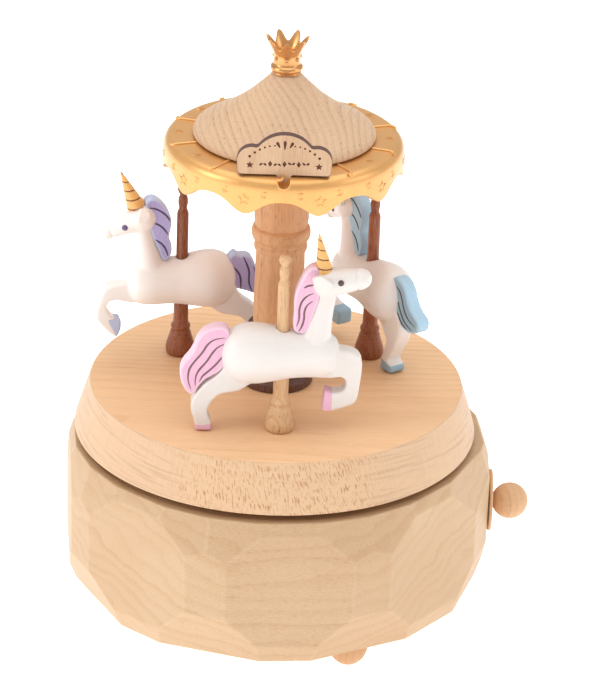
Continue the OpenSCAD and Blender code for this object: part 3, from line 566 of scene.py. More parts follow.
def plate_data(outline, t, bev=0.6, steps=3, face=0, edge=1):
    """Flat plate in the XZ plane, thickness t along Y, rounded edges; faces get index face, the rim edge."""
    p = ccw(outline)
    rings = []
    for s in (-1, 1):
        seq = []
        for i in range(steps + 1):
            a = math.pi / 2 * i / steps
            seq.append((bev * (1 - math.sin(a)), t / 2 - bev * (1 - math.cos(a))))
        # from the inset face (a = 0) to the full outline (a = 90)
        seq = [(d, s * y) for d, y in seq]
        rings.append(seq)
    order = rings[0] + rings[1][::-1]
    V, F, I = [], [], []
    n = len(p)
    for d, y in order:
        q = inset(p, d) if d > 1e-9 else p
        V += [(x, y, z) for x, z in q]
    for k in range(len(order) - 1):
        for i in range(n):
            j = (i + 1) % n
            F.append((k * n + i, k * n + j, (k + 1) * n + j, (k + 1) * n + i))
            I.append(edge)
    last = (len(order) - 1) * n
    F.append(tuple(range(n - 1, -1, -1)))
    F.append(tuple(range(last, last + n)))
    I += [face, face]
    return V, F, I


def tube_data(path, r, segs=8, closed=False, index=0, flat=1.0):
    """Round tube along a path of 3-D points, with closed ends. flat squashes nothing at 1."""
    P = [Vector(p) for p in path]
    n = len(P)
    V, F = [], []
    up = Vector((0, 0, 1))
    prev = None
    for i, p in enumerate(P):
        a = P[(i - 1) % n] if (closed or i > 0) else P[i]
        b = P[(i + 1) % n] if (closed or i < n - 1) else P[i]
        t = (b - a).normalized()
        if prev is None:
            ref = up if abs(t.dot(up)) < 0.9 else Vector((1, 0, 0))
            u = t.cross(ref).normalized()
        else:
            u = (prev - t * prev.dot(t)).normalized()
        prev = u
        w = t.cross(u)
        rr = r[i] if hasattr(r, "__len__") else r
        for k in range(segs):
            a2 = 2 * math.pi * k / segs
            V.append(tuple(p + u * (rr * math.cos(a2)) + w * (rr * flat * math.sin(a2))))
    m = n if closed else n - 1
    for i in range(m):
        for k in range(segs):
            k2 = (k + 1) % segs
            a0, b0 = i * segs, ((i + 1) % n) * segs
            F.append((a0 + k, a0 + k2, b0 + k2, b0 + k))
    if not closed:
        F.append(tuple(range(segs - 1, -1, -1)))
        F.append(tuple(range((n - 1) * segs, n * segs)))
    return V, F, [index] * len(F)


def cut(me, cutters, op="DIFFERENCE", cut_index=None):
    """Boolean of me with the joined cutters; faces made by the cutters get material index cut_index."""
    o = obj_of("tmp_solid", me)
    c = obj_of("tmp_cut", cutters)
    if cut_index is not None:
        n = cut_index + 1
        for k in range(n):
            mt = bpy.data.materials.get("tmp%d" % k) or bpy.data.materials.new("tmp%d" % k)
            if len(me.materials) <= k:
                me.materials.append(mt)
            if len(cutters.materials) <= k:
                cutters.materials.append(mt)
        cutters.polygons.foreach_set("material_index", np.full(len(cutters.polygons), cut_index, np.int32))
    for w in (me, cutters):
        bm = bmesh.new()
        bm.from_mesh(w)
        bmesh.ops.recalc_face_normals(bm, faces=bm.faces)
        bm.to_mesh(w)
        bm.free()
    b = o.modifiers.new("b", "BOOLEAN")
    b.operation = op
    b.solver = "EXACT"
    b.object = c
    res = bake(o)
    bpy.data.objects.remove(o)
    bpy.data.objects.remove(c)
    return res


def around(a_deg, r, z):
    a = math.radians(a_deg)
    return (r * math.sin(a), -r * math.cos(a), z)


# ------------------------------------------------------------------------------------------
# Base: a block cut by its facet planes, edges softened, then hollowed
# ------------------------------------------------------------------------------------------
def facet_planes():
    ea = math.atan2(EDGE_T, FACET_A)
    nr = math.hypot(FACET_A, EDGE_T) * math.cos(math.radians(22.5) - ea)
    nx, ny = nr * math.cos(math.radians(22.5)), nr * math.sin(math.radians(22.5))

    def plane(p, q, s, out=0.0):
        p, q, s = (np.array(t, float) + np.array((out, 0, 0)) for t in (p, q, s))
        n = np.cross(q - p, s - p)
        n /= np.linalg.norm(n)
        n = -n if n[0] < 0 else n
        return p, n
    for k in range(8):
        o = WIDE_OUT[k]
        loc = [(np.array((FACET_A + o, 0, 0)), np.array((1.0, 0, 0))),
               plane([FACET_A, -5, 54.8], [FACET_A, 5, 54.8], [60.9, 0, 58.5], o),
               plane([FACET_A, -5, 18], [FACET_A, 5, 18], [BASE_FOOT, 0, BASE_Z0], o)]
        for s in (-1, 1):
            loc.append(plane([FACET_A, s * 8.5, 54.8], [FACET_A, s * EDGE_T, 46], [nx, s * ny, 48.5], o))
        base = math.radians(45 * k + FACET_TURN - 90)
        for p, n in loc:
            yield p, n, base
        no = nr + NARROW_OUT[k]
        narrow = [(np.array((no, 0, 0)), np.array((1.0, 0, 0))),
            plane([no, -5, 27.3], [no, 5, 27.3], [CORNER_IN[k], 0, BASE_Z0])]
        for p, n in narrow:
            yield p, n, base + math.radians(22.5)


def make_base():
    bm = bmesh.new()
    bmesh.ops.create_cube(bm, size=1.0, matrix=Matrix.Translation((0, 0, (BASE_Z0 + BASE_Z1) / 2)) @
        Matrix.Diagonal((150, 150, BASE_Z1 - BASE_Z0, 1)))
    for p, n, a in facet_planes():
        rot = Matrix.Rotation(a, 3, "Z")
        pc, no = rot @ Vector(p), rot @ Vector(n)
        res = bmesh.ops.bisect_plane(bm, geom=bm.verts[:] + bm.edges[:] + bm.faces[:], dist=1e-4,
            plane_co=pc, plane_no=no, clear_outer=True)
        edges = [e for e in res["geom_cut"] if isinstance(e, bmesh.types.BMEdge)]
        if edges:
            bmesh.ops.edgeloop_fill(bm, edges=edges)
    bmesh.ops.remove_doubles(bm, verts=bm.verts, dist=0.02)
    bmesh.ops.recalc_face_normals(bm, faces=bm.faces)
    bmesh.ops.bevel(bm, geom=bm.edges[:], offset=0.55, offset_type="OFFSET", segments=2, profile=0.5,
        affect="EDGES", clamp_overlap=True)
    me = bpy.data.meshes.new("base")
    bm.to_mesh(me)
    bm.free()
    # hollow with a rounded mouth, and the thin lip round the rim
    hollow = lathe_data([(0, 4), (43.3, 4), (43.3, 11.4), (42.8, 12.4), (42.8, 14.6), (39.0, 14.6),
        (39.0, 54.2),
        (7.0, 54.2), (7.0, 70), (0, 70)], 128)
    lip = lathe_data([(0.0, 58.0), (58.2, 58.0), (58.8, 58.35), (59.0, 60.0), (0.0, 60.0)], 160)
    bore = lathe_data([(0, 30), (3.5, 30), (3.5, 58.5), (5.0, 58.5), (5.0, 80), (0, 80)], 48)
    bv = [(z, y, -x + WIND_Z) for x, y, z in bore[0]]
    cutters = [merge("h", [hollow]), merge("l", [lip]), merge("b", [(bv, bore[1])])]
    for k in range(3):
        s = lathe_data([(0, 5), (1.55, 5), (1.55, 18), (0, 18)], 24,
            around(FOOT_TURN + 120 * k, FOOT_AT, 0)[:2])
        cutters.append(merge("s", [s]))
    for c in cutters:
        me = cut(me, c)
    # each hand cut facet gets its own slight painted shade, and the bevelled edges a paler painted highlight
    planes = [Matrix.Rotation(a, 3, "Z") @ Vector(n) for _, n, a in facet_planes()]
    tone = np.zeros(len(me.polygons), np.float32)
    for i, q in enumerate(me.polygons):
        near = [j for j, n in enumerate(planes) if q.normal.dot(n) > 0.9996]
        if math.hypot(q.center.x, q.center.y) > 59.2 or near:
            tone[i] = 0.15 + 0.6 * ((near[0] * 0.618 + 0.3) % 1.0) if near else 0.84
    me.attributes.new("tone", "FLOAT", "FACE").data.foreach_set("value", tone)
    return place("base_block", me, [MAPLE], "base", ["base_body"], "base_maple", angle=24)


make_base()

foot = chaikin([(0, 0.02), (2.2, 0.02), (3.9, 1.15), (5.2, 2.8), (5.85, 4.6), (6.0, 6.2), (5.6, 8.2),
    (4.6, 10.0),
    (3.4, 11.3), (2.2, 11.9), (0, 11.97)], 2)
place("ball_feet_turned", merge("feet", [lathe_data(foot, 48,
    around(FOOT_TURN + 120 * k, FOOT_AT, 0)[:2]) for k in range(3)]),
      [BEECH_SMALL], "base", ["ball_feet"], "beech", angle=50)

# ------------------------------------------------------------------------------------------
# Knob: a wooden ball against a thin round plate
# ------------------------------------------------------------------------------------------
def lay_on_x(data):
    return [(z, y, -x + WIND_Z) for x, y, z in data[0]], data[1]


def knob_parts():
    th = [math.radians(a) for a in range(-85, 91, 5)]
    ball = [(0.0, BALL_X - BALL_R + 0.02)]
    ball += [(BALL_R * math.cos(t), BALL_X + BALL_R * math.sin(t)) for t in th if math.sin(t) < 0.9999]
    ball.append((0.0, BALL_X + BALL_R))
    me = merge("ball", [lay_on_x(lathe_data(ball, 64))])
    place("knob_ball_turned", me, [BEECH_SMALL], "winder", ["knob_ball"], "beech", angle=50)
    r, x0, x1 = PLATE_R, KNOB_X, KNOB_X + PLATE_T
    pl = chaikin([(0, x0), (r - 0.4, x0), (r - 0.12, x0 + 0.08), (r, x0 + 0.35), (r, x1 - 0.35),
        (r - 0.12, x1 - 0.08), (r - 0.4, x1), (0, x1)], 2)
    me = merge("plate", [lay_on_x(lathe_data(pl, 96))])
    place("knob_plate_turned", me, [BEECH_SMALL], "winder", ["knob_plate"], "beech", angle=40)


knob_parts()

# ------------------------------------------------------------------------------------------
# Turntable
# ------------------------------------------------------------------------------------------
def make_table():
    z0, z1, r0, r1 = TABLE
    prof = [(13.3, z0), (r0 - 0.9, z0), (r0 - 0.25, z0 + 0.12), (r0, z0 + 0.7), (r1 + 0.16, z1 - 0.45),
            (r1 - 0.1, z1 - 0.08),
            (r1 - 0.6, z1), (4.4, z1)]
    prof = [(13.3, z0 + 2.5)] + prof
    full = chaikin(prof, 1) + [(0.0, z1 - 0.02)]
    full = [(0.0, z0 + 2.5)] + full
    v, f = lathe_data(full, 192)
    me = to_mesh("table", v, f)
    idx = []
    for p in me.polygons:
        c = p.center
        flat = c.z > z1 - 0.2 and math.hypot(c.x, c.y) < r1 - 0.2
        idx.append(0 if flat else 1)
    keep = np.array(idx, np.int32)
    o = place("turntable_disc", me, [BEECH_TOP, BEECH_BEVEL], "carousel", ["turntable"], "beech", angle=25)
    me.polygons.foreach_set("material_index", keep)
    return o


make_table()

# ------------------------------------------------------------------------------------------
# Pedestal, column, roof
# ------------------------------------------------------------------------------------------
place("pedestal_turned", lathe("ped", [(0, 76.02), (10.6, 76.02), (11.0, 76.3), (11.05, 77.6), (10.9, 78.6),
    (10.4, 79.0),
      (9.9, 79.2), (9.5, 80.4), (9.1, 83), (8.7, 87), (8.42, 91), (8.5, 91.8), (8.9, 92.1), (9.25, 92.7),
      (9.3, 93.6),
      (9.15, 94.4), (8.7, 94.9), (8.0, 95.0), (0, 95.0)], 96), [WALNUT], "carousel", ["pedestal"],
      "walnut_stain")
place("column_turned", lathe("col", [(0, 95.1), (7.4, 95.1), (7.6, 95.4), (7.52, 105), (7.36, 116),
    (7.30, 119.2), (7.42, 119.35),
      (7.86, 119.5), (7.98, 120.0), (7.98, 120.8), (7.86, 121.3), (7.62, 121.6), (7.7, 122.3), (8.2, 122.7),
      (8.65, 123.5),
      (8.86, 124.6), (8.84, 125.6), (8.5, 126.6), (7.95, 127.1), (7.75, 127.3), (7.9, 127.9), (8.12, 129),
      (8.2, 131),
      (8.2, 152), (0, 152)], 128), [BEECH_COLUMN], "carousel", ["column"], "beech")
place("roof_turned", lathe("roof", [(0, 156.02), (26.2, 156.02), (26.8, 156.1), (27.1, 156.5),
    (26.95, 157.1), (26.6, 157.9),
      (25.6, 158.9), (24.0, 159.8), (21.0, 161.4), (18, 163.2), (15, 165.3), (12, 167.6), (9.6, 169.8),
      (7.4, 171.9),
      (5.6, 173.7), (4.5, 174.9), (4.0, 175.4), (0, 175.4)], 160), [BEECH_ROOF], "carousel", ["roof"],
      "beech")


# ------------------------------------------------------------------------------------------
# Canopy ring with scallops and relief
# ------------------------------------------------------------------------------------------
def skirt_z(a_deg):
    """Height of the lower edge at angle a from the front."""
    per = 360.0 / SCALLOPS
    t = abs(((a_deg + per / 2) % per) - per / 2) / (per / 2)
    f = (1 - math.cos(math.pi * t ** 1.35)) / 2
    return VALLEY_Z - (VALLEY_Z - SCALLOP_Z) * f


def star(r, k=0.45, n=5, turn=0.0):
    return [(q * math.sin(math.pi * i / n + turn), q * math.cos(math.pi * i / n + turn))
            for i in range(2 * n) for q in [r if i % 2 == 0 else r * k]]


def crescent(r, flip=1):
    out = [(r * math.cos(a) * flip, r * math.sin(a)) for a in np.linspace(math.radians(50),
        math.radians(310), 15)]
    inn = [((0.62 * r + 0.78 * r * math.cos(a)) * flip, 0.78 * r * math.sin(a))
           for a in np.linspace(math.radians(282), math.radians(78), 11)]
    return out + inn


def on_skirt(pts, a_deg, z, lift=0.0):
    """Flat outline (x across, y up) wrapped on the skirt at angle a."""
    return [around(a_deg + math.degrees(x / CANOPY_R), CANOPY_R + lift, z + y) for x, y in pts]


def on_top(pts, a_deg, r, lift=0.0):
    res = []
    a0 = math.radians(a_deg)
    for x, y in pts:
        px = (r + y) * math.sin(a0) + x * math.cos(a0)
        py = -(r + y) * math.cos(a0) + x * math.sin(a0)
        res.append((px, py, CANOPY_Z + lift))
    return res


def top_drop(r):
    """How far the rounded rim lies below the flat top at radius r."""
    d = max(0.0, r - (CANOPY_R - 3.4))
    return 3.4 - math.sqrt(max(0.0, 3.4 ** 2 - d * d)) if d < 3.4 else 3.4


def make_canopy():
    n = 720
    R, ZT = CANOPY_R, CANOPY_Z
    V, F = [], []
    rows = []
    for i in range(n):
        a = 360.0 * i / n
        zb = skirt_z(a)
        prof = [(3.3, 152.1), (30.0, 152.1), (32.2, 152.0), (33.0, 151.6), (33.3, 150.8), (33.4, zb + 0.7),
            (33.5, zb + 0.25),
                (33.9, zb), (35.1, zb), (35.5, zb + 0.22), (R, zb + 0.7), (R, 151.4), (R - 0.03, 152.4),
                (R - 0.2, 153.3),
                (R - 0.55, 154.1), (R - 1.1, 154.8), (R - 1.8, 155.28), (R - 2.6, ZT - 0.06), (R - 3.4, ZT),
                (29.0, ZT), (3.3, ZT)]
        rows.append(len(V))
        s, c = math.sin(math.radians(a)), math.cos(math.radians(a))
        V += [(r * s, -r * c, z) for r, z in prof]
        m = len(prof)
    F += row_faces(rows, m)
    # round recess where the sign's tab shows
    pin = lathe_data([(0, -37.5), (1.8, -37.5), (1.8, -32.1), (0, -32.1)], 32)
    me = cut(merge("c", [(V, F)]), merge("p", [([(x + 0.3, z, y + 154.9) for x, y, z in pin[0]], pin[1])]))
    datas = [([tuple(v.co) for v in me.vertices], [tuple(q.vertices) for q in me.polygons])]
    per = 360.0 / SCALLOPS
    for k in range(SCALLOPS):
        tip = per * (k + 0.5)
        datas.append(tube_data(on_skirt(star(1.75), tip, 149.0, -0.02), 0.17, 6, True))
        for s in (-1, 1):
            pts = crescent(0.95, s if k else 1)
            datas.append(tube_data(on_skirt(pts, per * k + s * 8.5, 151.0, -0.02), 0.14, 6, True))
        # small star on each top panel
        datas.append(tube_data(on_top(star(1.15, turn=math.pi), tip, 31.0, 0.0), 0.17, 6, True))
        # ridge between two panels, with its end turned along the shoulder
        path = [(0, -3.6), (0, -1.0), (0, 1.4), (0, 2.5), (-0.25, 3.2), (-0.8, 3.55), (-1.6, 3.6)]
        pts = on_top([tuple(q) for q in chaikin(path, 2)], per * k, 30.4, 0.05)
        pts = [(x, y, z - top_drop(math.hypot(x, y)) * 0.75) for x, y, z in pts]
        datas.append(tube_data(pts, 0.5, 10))
    # raised edge round the lower half of the recess
    pl = []
    for a in np.linspace(math.radians(98), math.radians(262), 24):
        x, z = 1.95 * math.sin(a), 154.9 + 1.95 * math.cos(a)
        r = R - 3.4 + math.sqrt(3.4 ** 2 - max(0.0, z - 152.2) ** 2)
        pl.append((x + 0.3, -math.sqrt(r * r - x * x), z))
    datas.append(tube_data(pl, 0.24, 6))
    me = merge("canopy", datas)
    place("canopy_moulded", me, [GILT], "carousel", ["canopy_ring"], "gilt_paint", angle=38)


make_canopy()


# ------------------------------------------------------------------------------------------
# Crown: seven points over a thin wall, with a bead below each
# ------------------------------------------------------------------------------------------
def make_crown():
    n = 420
    per = 360.0 / CROWN_N
    V, F, rows = [], [], []
    for i in range(n):
        a = 360.0 * i / n
        t = abs(((a - CROWN_TURN + per / 2) % per) - per / 2) / (per / 2)       # 0 at a point, 1 in a valley
        zt = 183.5 + 2.95 * (1 + math.cos(math.pi * t ** 0.92)) / 2
        steps = 8
        inner, outer = [], []
        for k in range(steps + 1):
            q = k / steps
            z = 181.0 + (zt - 181.0) * q
            u = (z - 181.0) / 5.45
            ro = 3.98 + 2.8 * u ** 1.3
            th = 1.0 - 0.35 * u
            inner.append((ro - th, z))
            outer.append((ro, z))
        outer[-1] = (outer[-1][0] - 0.12, outer[-1][1])
        prof = [(0.3, 179.3), (3.1, 179.5)] + inner + outer[::-1]
        prof += [(3.93, 180.4), (3.92, 179.6), (3.95, 178.6), (4.1, 178.15), (4.5, 177.9), (4.8, 177.45),
            (4.85, 176.9), (4.6, 176.45),
            (4.25, 176.2), (4.15, 175.95), (4.3, 175.8), (4.3, 175.62), (4.1, 175.5), (0.3, 175.5)]
        rows.append(len(V))
        s, c = math.sin(math.radians(a)), math.cos(math.radians(a))
        V += [(r * s, -r * c, z) for r, z in prof]
        m = len(prof)
    F += row_faces(rows, m)
    datas = [(V, F)]
    for k in range(CROWN_N):
        x, y, z = around(per * k + CROWN_TURN, 3.95, 180.3)
        ball = lathe_data([(0, -0.62), (0.38, -0.5), (0.58, -0.2), (0.62, 0.05), (0.52, 0.36), (0.3, 0.55),
            (0, 0.62)], 16)
        datas.append(([(p[0] + x, p[1] + y, p[2] + z) for p in ball[0]], ball[1]))
    me = merge("crown", datas)
    bm = bmesh.new()
    bm.from_mesh(me)
    bmesh.ops.remove_doubles(bm, verts=bm.verts, dist=0.0005)
    bm.to_mesh(me)
    bm.free()
    place("crown_cast", me, [GILT_CROWN], "carousel", ["crown"], "gilt_paint", angle=50)


make_crown()


# ------------------------------------------------------------------------------------------
# Sign plate: arched outline with generic ornament cut into its face
# ------------------------------------------------------------------------------------------
def sign_outline():
    """Central arch between two shoulder arches, flat foot with rounded ends and a small tab."""
    def arc(cx, cz, r, a0, a1, n):
        return [(cx + r * math.cos(math.radians(a)),
            cz + r * math.sin(math.radians(a))) for a in np.linspace(a0, a1, n)]
    right = [(0, -2.4), (0.9, -2.1), (1.7, -1.3), (2.1, -0.3), (2.5, 0.0), (11.6, 0.0)]
    right += arc(12.2, 1.4, 1.4, -80, -5, 7)
    right += arc(9.4, 4.2, 4.3, -8, 105, 14)
    right += [(7.7, 8.5), (7.4, 8.8)]
    right += arc(0.0, 3.0, 9.4, 39, 90, 14)
    left = [(-x, z) for x, z in right[::-1]]
    pts = right[:-1] + left[:-1]
    return pts


def make_sign():
    x0, yf, zb, t = 0.3, -32.2, 156.12, 2.6
    V, F, I = plate_data(sign_outline(), t, 0.12, 1, face=0, edge=1)
    me = to_mesh("sign", V, F, I)
    cuts = []

    def disc(cx, cz, r, n=14):
        return [(cx + r * math.cos(2 * math.pi * i / n),
            cz + r * math.sin(2 * math.pi * i / n)) for i in range(n)]

    def prism(poly):
        p = ccw(poly)
        m = len(p)
        v = [(x, -t / 2 - 1, z) for x, z in p] + [(x, -t / 2 + 0.28, z) for x, z in p]
        f = [tuple(range(m - 1, -1, -1)), tuple(range(m, 2 * m))] + [(i, (i + 1) % m, m + (i + 1) % m,
            m + i) for i in range(m)]
        return v, f
    for s in (-1, 1):
        for k in range(6):
            cuts.append(prism(disc(s * (2.9 + k * 1.42), 9.0 - 0.13 * k * k - 0.05 * k, 0.24 + 0.035 * k)))
        cuts.append(prism([(s * 9.9 + x, 2.9 + z) for x, z in star(1.15, 0.45)]))
    for k, (dx, tl, ln) in enumerate(((-1.9, 28, 1.0), (0, 0, 1.35), (1.9, -28, 1.0))):
        c, s = math.cos(math.radians(tl)), math.sin(math.radians(tl))
        drop = [(-0.14, -ln), (0.14, -ln), (0.46, 0.35 * ln), (0.36, 0.8 * ln), (0, ln), (-0.36, 0.8 * ln),
            (-0.46, 0.35 * ln)]
        cuts.append(prism([(dx + x * c - z * s, 9.3 + x * s + z * c) for x, z in drop]))
    # generic ornament: a row of leaves and lozenges
    for k in range(-3, 4):
        cx = k * 2.05
        if k % 2 == 0:
            cuts.append(prism([(cx - 0.62, 3.4), (cx, 2.45), (cx + 0.62, 3.4), (cx, 4.35)]))
        else:
            for s in (-1, 1):
                leaf = [(0, 0), (0.35 * s, 0.42), (0.95 * s, 0.72), (1.0 * s, 0.2), (0.55 * s, -0.22)]
                cuts.append(prism([(cx + x, 3.4 + z * (1 if k > 0 else -1)) for x, z in leaf]))
    for c in cuts:
        me = cut(me, merge("c", [c]), cut_index=2)
    keep = indices(me)
    M = Matrix.Translation((x0, yf + t / 2, zb))
    o = place("sign_plate_cut", me, [BEECH_SIGN, BURNT, ENGRAVED], "carousel", ["sign_plate"], "beech",
              angle=30, matrix=M)
    o.data.polygons.foreach_set("material_index", keep)


make_sign()


# ------------------------------------------------------------------------------------------
# Posts: one turned profile, natural at the front and stained at the back
# ------------------------------------------------------------------------------------------
POST = [(0, 76.02), (3.7, 76.02), (4.1, 76.3), (4.42, 77.2), (4.46, 78.4), (4.2, 79.7), (3.75, 81.2),
        (3.3, 82.8), (3.05, 83.8),
        (2.75, 84.05), (2.62, 84.3), (2.7, 84.6), (2.95, 84.85), (3.02, 85.4), (2.9, 85.9), (2.55, 86.3),
        (2.34, 86.9), (2.26, 88),
        (2.3, 95.2), (1.86, 95.6), (1.82, 107), (1.8, 122.2), (1.74, 122.9), (1.5, 123.5), (1.28, 124.0),
        (1.22, 124.6),
        (1.36, 125.2), (1.52, 126.1), (1.5, 127.2), (1.3, 128.0), (1.04, 128.5), (1.02, 128.8),
        (1.3, 129.2), (1.62, 129.8),
        (1.75, 130.5), (1.6, 131.3), (1.2, 131.9), (0.5, 132.12), (0, 132.15)]
for k in range(3):
    c = around(POST_AZ[k], POST_AT, 0)
    place("post_turned_%d" % (k + 1), lathe("post", POST, 64, c[:2], 2),
          [BEECH_POST if k == 0 else STAINED], "carousel",
          ["post_%d" % (k + 1)], "beech" if k == 0 else "red_brown_stain")


# ------------------------------------------------------------------------------------------
# Unicorns, built once in their own frame: heading +X, post on the Z axis
# ------------------------------------------------------------------------------------------
TORSO_Z = 100.7
TORSO_SIDE = 0.86                           # width of the torso over its height
MANE_A = [(9.2, 129.2), (7.6, 129.0), (6.0, 127.6), (4.9, 125.2), (4.2, 123.6), (3.2, 121.2), (2.8, 118),
          (3.0, 114.4),
    (2.7, 111.4), (3.1, 108.9), (4.2, 108.0), (6.4, 107.8), (7.8, 110.0), (9.0, 114.5), (10.2, 118.5),
    (10.4, 122.5), (9.8, 125.0), (10.0, 127.6)]
MANE_B = [(11.9, 126.6), (11.7, 127.8), (10.6, 128.5), (9.0, 128.6), (6.7, 127.1), (4.9, 124.7),
          (3.9, 122.1), (3.7, 119.6), (4.2, 116.8),
    (4.5, 115.6), (3.8, 113.9), (3.4, 111.8), (3.7, 109.7), (4.5, 108.3), (5.6, 107.8), (6.6, 108.6),
    (8.0, 112.4), (9.4, 115.6),
    (10.4, 118.4), (10.6, 121.0), (11.0, 124.0)]
TAIL_A = [(-15.8, 108.4), (-16.6, 109.5), (-19.4, 109.8), (-22.8, 108.4), (-25.0, 105.6), (-25.7, 103.0),
          (-27.0, 100.5), (-29.0, 98.0),
    (-29.9, 95.4), (-29.4, 92.0), (-28.2, 89.4), (-26.6, 87.7), (-25.3, 88.4), (-24.2, 90.4), (-22.4, 92.8),
    (-19.0, 94.7),
    (-17.2, 96.4), (-16.6, 99.0), (-15.6, 104.0), (-15.2, 107.0)]
TAIL_B = [(-13.0, 107.2), (-14.0, 108.4), (-16.2, 108.4), (-18.4, 107.4), (-20.2, 105.6), (-21.2, 103.0),
          (-23.2, 100.4), (-27.4, 98.2),
    (-27.0, 94.8), (-22.8, 92.8), (-18.9, 93.4), (-16.5, 95.6), (-14.6, 97.6), (-14.4, 103.0)]
TAIL_C = [(-14.0, 107.2), (-14.6, 108.4), (-16.0, 109.4), (-17.6, 108.3), (-19.2, 108.6), (-21.2, 107.8),
          (-22.2, 105.9), (-23.0, 103.0),
    (-24.8, 100.6), (-27.0, 98.6), (-27.4, 96.0), (-25.4, 94.0), (-22.4, 95.4), (-19.8, 96.5),
    (-17.9, 97.1), (-15.4, 98.0), (-15.2, 103.0)]
HIND_A = [(-8, 100), (-16.4, 99), (-17.6, 95.6), (-20.0, 93.2), (-22.3, 91.6), (-24.2, 89.2), (-25.6, 87.0),
          (-26.4, 84.8), (-26.2, 82.3), (-25.2, 79.4),
    (-24.9, 76.7), (-24.5, 76.35), (-20.5, 76.35), (-20.1, 76.7), (-20.4, 79.0), (-21.4, 81.3),
    (-21.5, 83.2), (-20.2, 86.0), (-18.2, 88.1),
    (-15.0, 88.8), (-12.6, 89.2), (-10.4, 90.6), (-8.0, 92.4), (-5.0, 94.0)]
HIND_B = [(-7, 99), (-15.5, 98.5), (-18.4, 94.6), (-18.6, 91.2), (-16.8, 87.0), (-14.4, 82.9),
          (-13.0, 80.7), (-13.2, 79.7),
    (-14.9, 78.9), (-15.3, 77.6), (-15.0, 76.6), (-14.6, 76.35), (-9.8, 76.35), (-9.5, 76.8), (-9.8, 80.2),
    (-11.2, 83.6), (-12.2, 86.6), (-10.8, 88.2), (-8.6, 91.2), (-6.0, 94.0)]
FORE_A = [(8.0, 102.6), (14.0, 103.4), (19.6, 102.6), (22.4, 101.2), (23.5, 99.0), (23.4, 95.5),
          (22.9, 91.0), (22.5, 87.4), (21.4, 85.5), (18.6, 84.4),
    (16.0, 83.5), (14.2, 83.0), (12.4, 83.1), (12.2, 83.5), (12.7, 89.4), (13.1, 89.8), (15.0, 88.9),
    (17.4, 89.2), (18.9, 90.4),
    (19.0, 93.0), (17.8, 94.2), (14.5, 93.8), (9.0, 94.0)]
FORE_B = [(9.0, 102.0), (14.5, 102.0), (20.6, 99.8), (23.4, 98.4), (25.0, 95.6), (26.0, 92.0), (26.2, 87.6),
          (24.6, 84.4), (22.0, 82.4),
    (18.6, 81.6), (13.6, 81.3), (13.1, 81.8), (12.9, 85.7), (13.3, 86.2), (17.6, 86.5), (20.6, 87.2),
    (22.2, 88.8), (22.6, 91.4), (21.4, 93.4),
    (19.0, 94.4), (14.5, 94.0), (9.0, 94.0)]
FORE_C = [(9.0, 102.0), (14.5, 101.8), (18.0, 101.0), (21.5, 100.5), (23.6, 99.9), (24.8, 98.1),
          (25.7, 95.2), (26.6, 92.4), (26.5, 89.8),
    (24.9, 87.6), (22.5, 85.0), (20.6, 83.4), (20.2, 83.4), (19.3, 84.8), (18.8, 86.5), (18.8, 88.9),
    (19.1, 89.2), (21.0, 89.5),
    (22.5, 91.7), (23.5, 93.6), (22.5, 95.4), (20.7, 95.9), (16.8, 94.7), (9.0, 94.0)]
TORSO_A = [(0, -17.9), (2.0, -17.8), (4.6, -17.1), (6.9, -15.6), (8.5, -13.2), (9.3, -10), (9.25, -6.5),
           (8.5, -2.5), (7.65, 1.5),
    (7.2, 5.5), (7.15, 9.5), (6.9, 12.5), (5.9, 14.9), (4.2, 16.2), (2.0, 16.7), (0, 16.8)]
TORSO_B = [(0, -16.6), (2.0, -16.5), (4.4, -15.9), (6.7, -14.6), (8.4, -12.6), (9.2, -9), (8.95, -6),
           (8.3, -2.5), (7.5, 1.5),
    (7.4, 5.5), (7.6, 9.5), (7.2, 12.7), (6.2, 14.9), (4.2, 16.3), (2.0, 16.8), (0, 16.9)]
NECK_A = ((9.35, 104.0), (12.6, 120.0), [4.7, 4.15, 3.65, 3.2, 2.95, 2.85])
NECK_B = ((9.7, 104.0), (12.9, 120.0), [4.8, 4.3, 3.8, 3.35, 3.1, 3.05])
# skull centre, end of the face, radii along the face from skull to muzzle, horn foot and tip and its radius,
# ear centre with its turn and height, eye along and above the face's axis
HEAD_A = ((12.2, 123.6), (22.3, 124.9), (4.45, 3.02), ((11.5, 127.0), (9.5, 139.0), 2.5),
          (11.0, 124.6, 0.0), (4.1, 0.9))
HEAD_B = ((12.4, 122.0), (22.6, 115.7), (4.4, 1.85), ((14.4, 125.6), (19.2, 137.1), 2.7),
          (13.0, 124.2, 46.0), (6.1, 0.4))
HEAD_C = ((12.4, 122.0), (23.6, 117.0), (4.4, 1.85), ((14.4, 125.6), (19.2, 137.1), 2.7),
          (13.0, 124.2, 46.0), (6.1, 0.4))
RIDERS = [dict(torso=TORSO_A, neck=NECK_A, head=HEAD_A, hind=HIND_A, fore=FORE_A, mane=MANE_A, tail=TAIL_A,
    taper=1.25),
    dict(torso=TORSO_B, neck=NECK_B, head=HEAD_B, hind=HIND_B, fore=FORE_B, mane=MANE_B, tail=TAIL_B),
    dict(torso=TORSO_B, neck=NECK_B, head=HEAD_C, hind=HIND_A, fore=FORE_C, mane=MANE_B, tail=TAIL_C)]


def tilt_lathe(profile, a, b, segs=64):
    """Lathe data with its axis from a to b in the XZ plane; profile is (radius, distance from a)."""
    v, f = lathe_data(profile, segs)
    d = Vector((b[0] - a[0], 0, b[1] - a[1])).normalized()
    u = Vector((0, 1, 0))
    w = d.cross(u)
    base = Vector((a[0], 0, a[1]))
    return [tuple(base + u * x + w * y + d * z) for x, y, z in v], f


